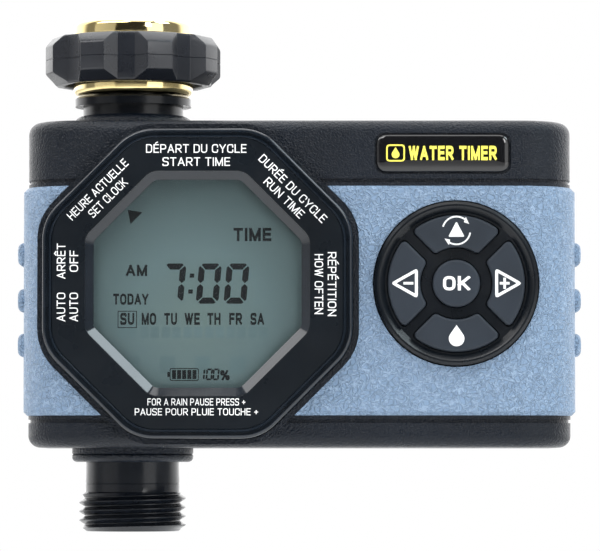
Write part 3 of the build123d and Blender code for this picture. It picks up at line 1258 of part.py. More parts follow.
with BuildPart() as housing_screws:
    for x, z in CORNER_SCREWS:
        with BuildSketch(front_plane(COUNTERBORE_Y + SCREW_HEAD_T, x, z)):
            Circle(SCREW_HEAD_R)
        extrude(amount=SCREW_HEAD_T)
        with BuildSketch(front_plane(COUNTERBORE_Y, x, z)):
            Circle(SCREW_SHANK_R)
        extrude(amount=COUNTERBORE_Y - 4.0)
        with BuildSketch(front_plane(COUNTERBORE_Y + SCREW_HEAD_T, x, z)):
            Rectangle(3.2, 0.7)
            Rectangle(0.7, 3.2)
        extrude(amount=1.0, mode=Mode.SUBTRACT)
housing_screws.part.label = "housing_screws"

# ---------------------------------------------------------------- write every piece
pieces = [
    front_shell.part,
    rear_shell.part,
    housing_gasket.part,
    housing_screws.part,
    *grips.values(),
    display_bezel.part,
    label_ring.part,
    display_lens.part,
    lcd_panel.part,
    zebra_strips.part,
    keypad_plate.part,
    keypad_mat.part,
    *keys.values(),
    badge.part,
    circuit_board.part,
    board_screws.part,
    microcontroller.part,
    capacitor.part,
    wire_connector.part,
    solenoid_wires.part,
    battery_wires.part,
    swivel_nut.part,
    handwheel.part,
    hose_washer.part,
    filter_screen.part,
    inlet_spout.part,
    outlet_spout.part,
    *spout_rings.values(),
    valve_body.part,
    valve_bonnet.part,
    bonnet_screws.part,
    diaphragm.part,
    diaphragm_plate.part,
    diaphragm_spring,
    plunger_guide.part,
    plunger.part,
    plunger_seal.part,
    plunger_spring,
    pole_piece.part,
    coil_bobbin.part,
    coil_winding.part,
    solenoid_yoke.part,
    solenoid_nut.part,
    *cells.values(),
    battery_contacts.part,
    battery_springs.part,
    battery_door.part,
    door_hinge_pin.part,
    door_gasket.part,
]
os.makedirs("parts", exist_ok=True)
for piece in pieces:
    export_step(piece, f"parts/{piece.label}.step")
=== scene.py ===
import math

import bmesh
import bpy
from mathutils import Matrix, Vector


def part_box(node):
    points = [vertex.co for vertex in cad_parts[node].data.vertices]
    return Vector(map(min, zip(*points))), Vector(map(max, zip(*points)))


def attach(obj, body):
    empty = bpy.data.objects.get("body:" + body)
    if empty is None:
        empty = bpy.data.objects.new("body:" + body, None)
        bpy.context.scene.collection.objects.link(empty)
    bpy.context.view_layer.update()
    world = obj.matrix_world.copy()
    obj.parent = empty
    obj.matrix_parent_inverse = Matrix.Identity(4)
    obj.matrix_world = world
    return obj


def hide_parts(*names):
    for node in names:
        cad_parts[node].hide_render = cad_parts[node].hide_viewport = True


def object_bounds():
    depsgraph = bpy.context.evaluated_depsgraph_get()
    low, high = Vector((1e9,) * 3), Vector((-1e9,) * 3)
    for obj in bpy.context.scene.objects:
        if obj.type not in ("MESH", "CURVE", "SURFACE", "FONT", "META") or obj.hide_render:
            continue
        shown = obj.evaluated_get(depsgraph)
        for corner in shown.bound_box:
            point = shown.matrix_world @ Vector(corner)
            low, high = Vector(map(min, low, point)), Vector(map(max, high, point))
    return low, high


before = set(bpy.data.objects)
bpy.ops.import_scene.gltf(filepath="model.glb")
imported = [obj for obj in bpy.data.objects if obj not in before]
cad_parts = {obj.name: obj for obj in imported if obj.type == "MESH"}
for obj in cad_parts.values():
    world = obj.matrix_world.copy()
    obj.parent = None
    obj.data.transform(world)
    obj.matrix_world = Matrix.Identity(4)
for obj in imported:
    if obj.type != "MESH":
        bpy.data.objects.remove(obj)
CAD_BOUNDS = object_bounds()

# The looks of a hose-end watering timer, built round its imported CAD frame. Blender works in metres;
# the sizes below are millimetres and go through MM. The display faces -Y and the water axis is Z.
MM = 0.001
BODY = "housing"


# ------------------------------------------------------------------ materials
class Material:
    """A Principled material with helpers for the procedural detail that every surface gets."""

    def __init__(self, name, color, roughness, **sockets):
        self.material = bpy.data.materials.new(name)
        self.material.use_nodes = True
        self.tree = self.material.node_tree
        self.shader = self.tree.nodes["Principled BSDF"]
        self.set("Base Color", (*color, 1.0))
        self.set("Roughness", roughness)
        for socket, value in sockets.items():
            self.set(socket.replace("_", " "), value)
        self.coordinates = self.tree.nodes.new("ShaderNodeTexCoord").outputs["Object"]

    def set(self, socket, value):
        self.shader.inputs[socket].default_value = value

    def node(self, kind, **values):
        made = self.tree.nodes.new(kind)
        for key, value in values.items():
            if key in made.inputs:
                made.inputs[key].default_value = value
            else:
                setattr(made, key, value)
        return made

    def link(self, out, into):
        self.tree.links.new(out, into)

    def noise(self, scale, detail=2.0, rough=0.5, distortion=0.0, stretch=(1, 1, 1)):
        """Noise with features of about 1/scale metres, stretched along the axes."""
        mapping = self.node("ShaderNodeMapping")
        mapping.inputs["Scale"].default_value = stretch
        self.link(self.coordinates, mapping.inputs["Vector"])
        made = self.node("ShaderNodeTexNoise", Scale=scale, Detail=detail, Roughness=rough)
        made.inputs["Distortion"].default_value = distortion
        self.link(mapping.outputs["Vector"], made.inputs["Vector"])
        return made.outputs["Fac"]

    def ramp(self, factor, stops):
        """A colour ramp through (position, (r, g, b)) stops."""
        made = self.node("ShaderNodeValToRGB")
        elements = made.color_ramp.elements
        while len(elements) < len(stops):
            elements.new(0.5)
        for element, (position, color) in zip(elements, stops):
            element.position = position
            element.color = (*color, 1.0)
        self.link(factor, made.inputs["Fac"])
        return made.outputs["Color"]

    def span(self, factor, low, high, out_low, out_high):
        made = self.node("ShaderNodeMapRange")
        for key, value in zip(("From Min", "From Max", "To Min", "To Max"), (low, high, out_low, out_high)):
            made.inputs[key].default_value = value
        self.link(factor, made.inputs["Value"])
        return made.outputs["Result"]

    def bump(self, height, strength, depth_mm):
        made = self.node("ShaderNodeBump", Strength=strength)
        made.inputs["Distance"].default_value = depth_mm * MM
        previous = self.shader.inputs["Normal"].links
        if previous:
            self.link(previous[0].from_socket, made.inputs["Normal"])
        self.link(height, made.inputs["Height"])
        self.link(made.outputs["Normal"], self.shader.inputs["Normal"])

    def vary(self, low, high, scale, detail=3.0, stretch=(1, 1, 1)):
        """Roughness that drifts between low and high."""
        fac = self.noise(scale, detail, stretch=stretch)
        self.link(self.span(fac, 0.3, 0.7, low, high), self.shader.inputs["Roughness"])

    def tint(self, dark, light, scale, detail=4.0):
        """Base colour that drifts between two near tones."""
        fac = self.noise(scale, detail)
        self.link(self.ramp(fac, [(0.3, dark), (0.7, light)]), self.shader.inputs["Base Color"])


GRAIN_DEPTH = 0.05


def moulded(name, color, low, high, grain_mm, grain_strength, **sockets):
    """Moulded plastic: a slight drift in tone and gloss and a fine spark-eroded grain."""
    made = Material(name, color, (low + high) / 2, **sockets)
    made.tint([c * 0.85 for c in color], [min(1.0, c * 1.18) for c in color], 60)
    made.vary(low, high, 140)
    made.bump(made.noise(1 / (grain_mm * MM), 3.0, 0.6), grain_strength, GRAIN_DEPTH)
    return made


LEATHER_CELLS, LEATHER_WANDER = 740.0, 560.0
LEATHER_SHIFT = 2.6 * MM
LEATHER_DEPTH = 0.3


def leather_grain():
    """Soft blue rubber with an embossed leather grain: small uneven cells with raised creases between,
    coloured pale as a painted highlight on the creases.
    """
    made = Material("grip_rubber", (0.22, 0.31, 0.46), 0.5)
    made.set("Specular IOR Level", 0.4)
    wander = made.node("ShaderNodeTexNoise", Scale=LEATHER_WANDER, Detail=2.0)
    made.link(made.coordinates, wander.inputs["Vector"])
    centred = made.node("ShaderNodeVectorMath", operation="SUBTRACT")
    made.link(wander.outputs["Color"], centred.inputs[0])
    centred.inputs[1].default_value = (0.5, 0.5, 0.5)
    shifted = made.node("ShaderNodeVectorMath", operation="MULTIPLY_ADD")
    made.link(centred.outputs["Vector"], shifted.inputs[0])
    shifted.inputs[1].default_value = (LEATHER_SHIFT,) * 3
    made.link(made.coordinates, shifted.inputs[2])
    cells = made.node("ShaderNodeTexVoronoi", feature="DISTANCE_TO_EDGE", Scale=LEATHER_CELLS)
    made.link(shifted.outputs["Vector"], cells.inputs["Vector"])
    # the creases are raised by the bump below, and their pale colour in the ramp is a painted highlight on
    # them
    crease = made.span(cells.outputs["Distance"], 0.0, 0.2, 1.0, 0.0)
    stops = [(0.0, (0.186, 0.274, 0.402)), (0.6, (0.203, 0.295, 0.428)), (1.0, (0.27, 0.372, 0.515))]
    made.link(made.ramp(crease, stops), made.shader.inputs["Base Color"])
    made.bump(made.noise(1500, 2.0), 0.3, 0.03)
    made.bump(crease, 1.0, LEATHER_DEPTH)
    made.vary(0.38, 0.5, 200)
    return made


def polished_brass():
    made = Material("brass", (0.84, 0.68, 0.32), 0.1, Metallic=1.0)
    made.tint((0.80, 0.62, 0.25), (0.92, 0.78, 0.44), 50)
    made.vary(0.05, 0.14, 260, stretch=(1, 1, 9))
    made.bump(made.noise(900, 2.0, stretch=(1, 1, 12)), 0.06, 0.03)
    return made


# how far below the film's middle its painted pool of light sits, and the radius over which it fades into
# painted shade at the edges
FILM_PAINTED_LIGHT_DROP, FILM_PAINTED_SHADE_R = 8.0, 36.0


def display_film():
    """The display's grey-blue reflector, lighter low in the middle and darker towards its edges: a painted
    pool of light, with painted shade from the bezel round its edges.
    """
    made = Material("display_film", (0.22, 0.34, 0.36), 0.45)
    low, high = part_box("lcd_panel")
    middle = (low + high) / 2
    shift = made.node("ShaderNodeMapping")
    shift.inputs["Location"].default_value = (-middle.x, -middle.y, -middle.z + FILM_PAINTED_LIGHT_DROP * MM)
    made.link(made.coordinates, shift.inputs["Vector"])
    length = made.node("ShaderNodeVectorMath", operation="LENGTH")
    made.link(shift.outputs["Vector"], length.inputs[0])
    fac = made.span(length.outputs["Value"], 0.0, FILM_PAINTED_SHADE_R * MM, 0.0, 1.0)
    # painted light at the middle, fading to painted shade from the bezel at the edges
    stops = [(0.0, (0.150, 0.215, 0.207)), (0.45, (0.132, 0.200, 0.208)), (1.0, (0.070, 0.105, 0.112))]
    made.link(made.ramp(fac, stops), made.shader.inputs["Base Color"])
    made.bump(made.noise(4000, 2.0), 0.12, 0.02)
    return made


# black plastics; the housing has a pebbled texture over its fine grain
HOUSING = moulded("housing_plastic", (0.0042, 0.0070, 0.0125), 0.26, 0.36, 0.45, 0.8, Specular_IOR_Level=0.24)
HOUSING.bump(HOUSING.noise(1900, 2.0), 1.0, 0.35)
GLOSS = moulded("gloss_plastic", (0.0085, 0.0125, 0.0185), 0.10, 0.2, 1.5, 0.05)
LABEL = moulded("label_film", (0.0048, 0.0070, 0.0100), 0.26, 0.34, 0.5, 0.06, Specular_IOR_Level=0.25)
PLATE = moulded("plate_plastic", (0.0035, 0.0052, 0.0078), 0.24, 0.34, 0.4, 0.4, Specular_IOR_Level=0.3)
WHEEL = moulded("wheel_plastic", (0.0105, 0.0125, 0.0175), 0.24, 0.34, 0.5, 0.6)
SPOUT = moulded("spout_plastic", (0.0050, 0.0068, 0.0100), 0.18, 0.28, 1.0, 0.12, Specular_IOR_Level=0.3)
KEYS = moulded("key_rubber", (0.0205, 0.0270, 0.0370), 0.46, 0.6, 0.3, 0.3, Specular_IOR_Level=0.25)
BADGE = moulded("badge_dome", (0.0060, 0.0060, 0.0070), 0.03, 0.06, 4.0, 0.02)
BADGE.set("Coat Weight", 0.25)
BADGE.set("Coat Roughness", 0.02)

# inks
WHITE = moulded("white_ink", (0.86, 0.87, 0.88), 0.4, 0.5, 0.3, 0.05)
YELLOW = moulded("yellow_ink", (0.92, 0.76, 0.11), 0.3, 0.4, 0.3, 0.05)
INK = moulded("display_ink", (0.012, 0.012, 0.014), 0.5, 0.6, 0.3, 0.05, Specular_IOR_Level=0.2)
GHOST = moulded("display_ghost", (0.118, 0.186, 0.196), 0.5, 0.6, 0.3, 0.05)

# inner parts
RUBBER = moulded("seal_rubber", (0.018, 0.018, 0.020), 0.6, 0.75, 0.4, 0.3)
VALVE = moulded("valve_plastic", (0.10, 0.10, 0.11), 0.4, 0.55, 0.6, 0.2)
SILICONE = moulded("silicone", (0.33, 0.34, 0.36), 0.45, 0.6, 0.5, 0.1)
BOARD = moulded("board", (0.02, 0.13, 0.045), 0.3, 0.42, 0.5, 0.2)
CHIP = moulded("chip", (0.02, 0.02, 0.021), 0.45, 0.6, 0.3, 0.2)
CREAM = moulded("cream_nylon", (0.75, 0.73, 0.65), 0.4, 0.55, 0.6, 0.1)
WIRE = moulded("wire_red", (0.45, 0.02, 0.02), 0.3, 0.4, 1.0, 0.1)
WRAP = moulded("cell_wrap", (0.03, 0.035, 0.04), 0.18, 0.28, 2.0, 0.05)
STEEL = moulded("zinc_steel", (0.60, 0.60, 0.62), 0.22, 0.36, 0.5, 0.15, Metallic=1.0)
COPPER = moulded("copper", (0.75, 0.34, 0.17), 0.25, 0.4, 0.3, 0.3, Metallic=1.0)

# one-off looks
GRIP = leather_grain()
BRASS = polished_brass()
FILM = display_film()
LENS = Material("lens", (0.02, 0.03, 0.03), 0.03, Alpha=0.12, IOR=1.49)
LENS.bump(LENS.noise(60, 1.0), 0.02, 0.05)

NODE_LOOKS = {
    "front_shell": HOUSING, "rear_shell": HOUSING, "battery_door": HOUSING,
    "grip_left": GRIP, "grip_right": GRIP,
    "display_bezel": GLOSS, "label_ring": LABEL, "display_lens": LENS, "lcd_panel": FILM,
    "keypad_plate": PLATE, "badge": BADGE, "keypad_mat": SILICONE,
    "key_ok": KEYS, "key_next": KEYS, "key_manual": KEYS, "key_minus": KEYS, "key_plus": KEYS,
    "inlet_spout": SPOUT, "outlet_spout": SPOUT, "handwheel": WHEEL, "swivel_nut": BRASS,
    "circuit_board": BOARD, "microcontroller": CHIP, "capacitor": CHIP, "wire_connector": CREAM,
    "coil_bobbin": CREAM, "coil_winding": COPPER, "solenoid_wires": WIRE, "battery_wires": WIRE,
    "cell_upper": WRAP, "cell_lower": WRAP, "valve_body": VALVE, "valve_bonnet": VALVE,
    "diaphragm_plate": VALVE,
}
RUBBER_WORDS = ("gasket", "ring", "washer", "seal", "zebra", "diaphragm")
for name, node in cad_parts.items():
    look = NODE_LOOKS.get(name)
    if look is None:
        look = RUBBER if any(word in name for word in RUBBER_WORDS) else STEEL
    node.data.materials.clear()
    node.data.materials.append(look.material)


# ------------------------------------------------------------------ mesh helpers
CRISP_ANGLE = 35


def finish_mesh(name, mesh, look, body):
    """Links a mesh as a piece that rides on a body, smooth but for its sharp corners."""
    piece = bpy.data.objects.new(name, mesh)
    bpy.context.scene.collection.objects.link(piece)
    mesh.materials.clear()
    mesh.materials.append(look.material)
    for polygon in mesh.polygons:
        polygon.use_smooth = True
    mesh.set_sharp_from_angle(angle=math.radians(CRISP_ANGLE))
    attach(piece, body)
    return piece


def ring_stack(name, loops, look, body):
    """A closed skin through loops of equal length; the last loop joins the first."""
    count = len(loops[0])
    mesh = bpy.data.meshes.new(name)
    verts = [Vector(p) * MM for loop in loops for p in loop]
    faces = []
    for i in range(len(loops)):
        j = (i + 1) % len(loops)
        for k in range(count):
            m = (k + 1) % count
            faces.append((i * count + k, i * count + m, j * count + m, j * count + k))
    mesh.from_pydata(verts, [], faces)
    work = bmesh.new()
    work.from_mesh(mesh)
    bmesh.ops.recalc_face_normals(work, faces=work.faces)
    work.to_mesh(mesh)
    work.free()
    return finish_mesh(name, mesh, look, body)


def round_profile(points, radii, steps=4):
    """A closed outline of (a, b) points with each corner rounded by its radius."""
    out = []
    count = len(points)
    for i, (corner, radius) in enumerate(zip(points, radii)):
        here = Vector(corner)
        before, after = Vector(points[i - 1]) - here, Vector(points[(i + 1) % count]) - here
        if radius <= 0 or before.length == 0 or after.length == 0:
            out.append(tuple(here))
            continue
        half = before.angle(after) / 2
        reach = min(radius / math.tan(half), 0.48 * before.length, 0.48 * after.length)
        start, end = here + before.normalized() * reach, here + after.normalized() * reach
        for step in range(steps + 1):
            t = step / steps
            out.append(tuple(start * (1 - t) ** 2 + here * 2 * t * (1 - t) + end * t * t))
    return out


def merged(mesh):
    """Joins the points that coincide, drops what collapses and turns the skin outwards."""
    work = bmesh.new()
    work.from_mesh(mesh)
    bmesh.ops.remove_doubles(work, verts=work.verts, dist=0.002 * MM)
    bmesh.ops.dissolve_degenerate(work, edges=work.edges, dist=0.001 * MM)
    bmesh.ops.recalc_face_normals(work, faces=work.faces)
    work.to_mesh(mesh)
    work.free()


def threaded(name, rows, lathe, look, body, columns=144):
    """A helical thread closed by a lathed profile.

    rows is helix_grid()'s answer, and lathe lists the (radius, z) points from the thread's top round
    the piece to its bottom.
    """
    mesh = bpy.data.meshes.new(name)
    grid, steps = rows
    strips = [[grid(step, k / columns) for step in range(steps)] for k in range(columns + 1)]
    verts, faces = [], []
    for k, strip in enumerate(strips):
        angle = 2 * math.pi * k / columns
        for r, z in strip + lathe:
            verts.append(Vector((r * math.cos(angle), r * math.sin(angle), z)) * MM)
    count = len(strips[0]) + len(lathe)
    for k in range(columns):
        for i in range(count):
            j = (i + 1) % count
            faces.append((k * count + i, k * count + j, (k + 1) * count + j, (k + 1) * count + i))
    mesh.from_pydata(verts, [], faces)
    merged(mesh)
    return finish_mesh(name, mesh, look, body)


# Hose thread, 3/4 inch at 11.5 turns to the inch: (height up one turn, how far out of the root)
PITCH = 25.4 / 11.5
THREAD_SHAPE = [(0.0, 0.93), (0.06, 1.0), (0.34, 1.0), (0.40, 0.93)]
THREAD_SHAPE += [(1.13, 0.06), (1.19, 0.0), (1.42, 0.0), (1.48, 0.06)]


def helix_grid(bottom, top, root_r, crest_r, limit, phase=0.0):
    """The thread between two heights, as threaded() wants it.

    grid(step, turn) is the (radius, z) of one of the profile's steps after a share of a turn, and
    limit(r, z) shapes the thread's two ends.
    """
    steps = int((top - bottom) / PITCH + 4) * len(THREAD_SHAPE)

    def grid(step, turn):
        up, out = THREAD_SHAPE[step % len(THREAD_SHAPE)]
        z = bottom + up + (step // len(THREAD_SHAPE) - 2 + turn + phase) * PITCH
        z = min(top, max(bottom, z))
        return limit(root_r + (crest_r - root_r) * out, z), z

    return grid, steps


# ------------------------------------------------------------------ outlet spout
SPOUT_END, SPOUT_THREAD_TOP = -117.05, -107.25
SPOUT_CREST, SPOUT_ROOT, SPOUT_NECK, SPOUT_BORE = 13.4, 12.05, 11.75, 7.5
END_BEVEL = 1.3


def outlet_limit(r, z):
    """Bevels the thread's start at the spout's mouth and its run-out at the neck."""
    mouth = SPOUT_ROOT - 0.55 + (z - SPOUT_END) * END_BEVEL
    neck = SPOUT_NECK + (SPOUT_THREAD_TOP - z) * END_BEVEL
    return min(r, mouth, neck)


def make_outlet_spout():
    """The neck has a fine line above its thread and a stem with an O-ring groove inside the boss."""
    top, boss, ring = -83.6, -99.75, -88.4
    stem, groove, groove_half = 9.9, 8.5, 0.9
    lathe = [(SPOUT_NECK, SPOUT_THREAD_TOP + 1.95), (SPOUT_NECK - 0.1, SPOUT_THREAD_TOP + 2.05)]
    lathe += [(SPOUT_NECK - 0.1, SPOUT_THREAD_TOP + 2.15), (SPOUT_NECK, SPOUT_THREAD_TOP + 2.25)]
    lathe += [(SPOUT_NECK, boss), (stem, boss), (stem, ring - groove_half), (groove, ring - groove_half)]
    lathe += [(groove, ring + groove_half), (stem, ring + groove_half), (stem, top - 0.5), (9.4, top)]
    lathe += [(SPOUT_BORE, top)]
    lathe += [(SPOUT_BORE, SPOUT_END + 0.6), (SPOUT_BORE + 0.2, SPOUT_END + 0.2)]
    lathe += [(SPOUT_BORE + 0.6, SPOUT_END), (SPOUT_ROOT - 0.9, SPOUT_END)]
    rows = helix_grid(SPOUT_END, SPOUT_THREAD_TOP, SPOUT_ROOT, SPOUT_CREST, outlet_limit, -0.35)
    spout = threaded("outlet_thread_spout", rows, lathe, SPOUT, BODY)
    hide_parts("outlet_spout")


make_outlet_spout()

# ------------------------------------------------------------------ swivel nut and handwheel
NUT_CREST, NUT_ROOT, NUT_SEAT, NUT_TOP = 12.45, 13.5, 12.95, 10.45
RUN_OUT = 0.8


def nut_limit(r, z):
    """Blends the thread into the washer seat below and a bevelled mouth above."""
    blend = min(1.0, z / RUN_OUT)
    r = NUT_SEAT + (r - NUT_SEAT) * blend
    return max(r, NUT_ROOT - (NUT_TOP - z))


def make_swivel_nut():
    """Polished brass: rounded lips above and below the handwheel."""
    lathe = [(NUT_ROOT + 0.15, NUT_TOP), (13.8, NUT_TOP), (14.25, 10.38), (14.6, 10.15), (14.85, 9.8)]
    lathe += [(15.0, 9.35), (15.0, 7.45), (14.95, 7.15), (14.75, 6.9), (14.4, 6.8), (14.4, -3.7)]
    lathe += [(14.9, -3.7), (15.0, -3.8), (15.0, -6.45), (14.92, -6.9), (14.7, -7.3), (14.35, -7.6)]
    lathe += [(13.9, -7.75), (10.5, -7.75), (10.35, -7.6), (10.35, -5.15), (10.5, -5.0), (12.8, -5.0)]
    lathe += [(NUT_SEAT, -4.85)]
    rows = helix_grid(0.0, NUT_TOP, NUT_ROOT, NUT_CREST, nut_limit)
    nut = threaded("brass_swivel_nut", rows, lathe, BRASS, "swivel")
    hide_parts("swivel_nut")


make_swivel_nut()

WHEEL_BOTTOM, WHEEL_TOP, WHEEL_MIDDLE = -5.3, 6.8, 0.85
WHEEL_GROOVES, WHEEL_TURN = 8, -93.0
WHEEL_R, WHEEL_FLOOR_R, WHEEL_BORE_R = 22.3, 19.62, 14.45
WHEEL_HALF, WHEEL_FLOOR_HALF = 14.1, 6.3
WHEEL_LOW_Z, WHEEL_HIGH_Z = -2.7, 4.4
WHEEL_EDGE_R = 0.35


def polar(radius, degrees):
    return Vector((radius * math.cos(math.radians(degrees)), radius * math.sin(math.radians(degrees))))


def wheel_loop(z, reach, shrink):
    """The wheel's outline at height z: its grips reach out to one radius between the eight grooves."""
    share = (reach - WHEEL_FLOOR_R) / (WHEEL_R - WHEEL_FLOOR_R)
    corners = []
    for groove in range(WHEEL_GROOVES):
        middle = WHEEL_TURN + groove * 360 / WHEEL_GROOVES
        before = [polar(WHEEL_R, middle - WHEEL_HALF), polar(WHEEL_FLOOR_R, middle - WHEEL_FLOOR_HALF)]
        after = [polar(WHEEL_FLOOR_R, middle + WHEEL_FLOOR_HALF), polar(WHEEL_R, middle + WHEEL_HALF)]
        corners += [before[1].lerp(before[0], share), before[1], after[0], after[0].lerp(after[1], share)]
    corners = [corner * (1 - shrink / corner.length) for corner in corners]
    return [(x, y, z) for x, y in round_profile(corners, [WHEEL_EDGE_R] * len(corners))]


def round_loop(like, radius, z):
    """A circle with its points at the same angles as those of another loop."""
    angles = [math.atan2(y, x) for x, y, _ in like]
    return [(radius * math.cos(a), radius * math.sin(a), z) for a in angles]


def make_handwheel():
    """A barrel with eight grooves, a parting line at mid height and a hollow underside."""
    low, high, middle, full = WHEEL_BOTTOM, WHEEL_TOP, WHEEL_MIDDLE, WHEEL_R
    # each level: its height, how far its grips reach, and how much its whole outline shrinks
    levels = [(low, 19.75, 0.5), (low + 0.08, 19.75, 0.25), (low + 0.35, 19.75, 0.04)]
    levels += [(low + 0.6, 19.95, 0.0), (WHEEL_LOW_Z - 0.3, 21.9, 0.0), (WHEEL_LOW_Z, 22.15, 0.0)]
    levels += [(WHEEL_LOW_Z + 0.2, 22.25, 0.0), (WHEEL_LOW_Z + 0.5, full, 0.0), (middle - 0.12, full, 0.0)]
    levels += [(middle - 0.03, full, 0.12), (middle + 0.03, full, 0.12), (middle + 0.12, full, 0.0)]
    levels += [(WHEEL_HIGH_Z - 0.5, full, 0.0), (WHEEL_HIGH_Z - 0.2, 22.25, 0.0)]
    levels += [(WHEEL_HIGH_Z + 0.1, 22.1, 0.0), (WHEEL_HIGH_Z + 0.4, 21.88, 0.0), (high - 0.35, 20.5, 0.0)]
    levels += [(high - 0.15, 20.3, 0.08), (high - 0.04, 20.2, 0.2), (high, 20.2, 0.4)]
    loops = [wheel_loop(*level) for level in levels]
    inner = [(17.9, high), (17.5, high - 0.15), (16.9, high - 0.6), (15.4, high - 0.6), (15.1, high - 0.35)]
    inner += [(WHEEL_BORE_R, high - 0.35), (WHEEL_BORE_R, low + 1.6), (17.0, low + 1.6), (17.3, low + 1.3)]
    inner += [(17.4, low + 0.3), (17.7, low)]
    loops += [round_loop(loops[0], r, z) for r, z in inner]
    wheel = ring_stack("grooved_handwheel", loops, WHEEL, "swivel")
    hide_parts("handwheel")


make_handwheel()


# ------------------------------------------------------------------ flat graphics
class Graphics:
    """Thin raised shapes on a surface that faces the user, drawn round a centre in millimetres."""

    def __init__(self, name, x, z, y, thick=0.03):
        self.name, self.x, self.z, self.y, self.base = name, x, z, y, thick
        self.thick = thick
        self.shapes = 0
        self.work = bmesh.new()

    def points(self, outline, depth):
        y = self.y - depth
        return [self.work.verts.new(Vector((self.x + u, y, self.z + v)) * MM) for u, v in outline]

    def next_shape(self):
        """Shapes that cross each other get slightly different heights."""
        self.shapes += 1
        self.thick = self.base + 0.004 * (self.shapes % 5)

    def fill(self, outline):
        """A solid shape inside a closed outline."""
        self.next_shape()
        back, front = self.points(outline, 0.0), self.points(outline, self.thick)
        self.work.faces.new(front)
        self.work.faces.new(back[::-1])
        for i in range(len(outline)):
            j = (i + 1) % len(outline)
            self.work.faces.new((back[i], back[j], front[j], front[i]))

    def band(self, outer, inner):
        """A closed band between two outlines with the same number of points."""
        self.next_shape()
        rows = [self.points(outer, 0.0), self.points(outer, self.thick)]
        rows += [self.points(inner, self.thick), self.points(inner, 0.0)]
        count = len(outer)
        for a, b in zip(rows, rows[1:] + rows[:1]):
            for i in range(count):
                j = (i + 1) % count
                self.work.faces.new((a[i], a[j], b[j], b[i]))

    def strip(self, left, right):
        """A bar between two edges with the same number of points."""
        self.next_shape()
        rows = [self.points(left, 0.0), self.points(left, self.thick)]
        rows += [self.points(right, self.thick), self.points(right, 0.0)]
        for a, b in zip(rows, rows[1:] + rows[:1]):
            for i in range(len(left) - 1):
                self.work.faces.new((a[i], a[i + 1], b[i + 1], b[i]))
        for i in (0, -1):
            self.work.faces.new([row[i] for row in rows])

    def arc(self, radius, width, start, end, steps=20):
        """A curved bar round the centre, its angles in degrees."""
        angles = [math.radians(start + (end - start) * step / steps) for step in range(steps + 1)]
        outer, inner = radius + width / 2, radius - width / 2
        self.strip(*[[(r * math.cos(a), r * math.sin(a)) for a in angles] for r in (outer, inner)])

    def bar(self, u, v, width, height, slant=0.0):
        half_w, half_h = width / 2, height / 2
        corners = ((-half_w, -half_h), (half_w, -half_h), (half_w, half_h), (-half_w, half_h))
        self.fill([(u + a + slant * (v + b), v + b) for a, b in corners])

    def done(self, look, body):
        mesh = bpy.data.meshes.new(self.name)
        wide = [f for f in self.work.faces if len(f.verts) > 4]
        bmesh.ops.triangulate(self.work, faces=wide, ngon_method="EAR_CLIP")
        bmesh.ops.recalc_face_normals(self.work, faces=self.work.faces)
        self.work.to_mesh(mesh)
        self.work.free()
        return finish_mesh(self.name, mesh, look, body)


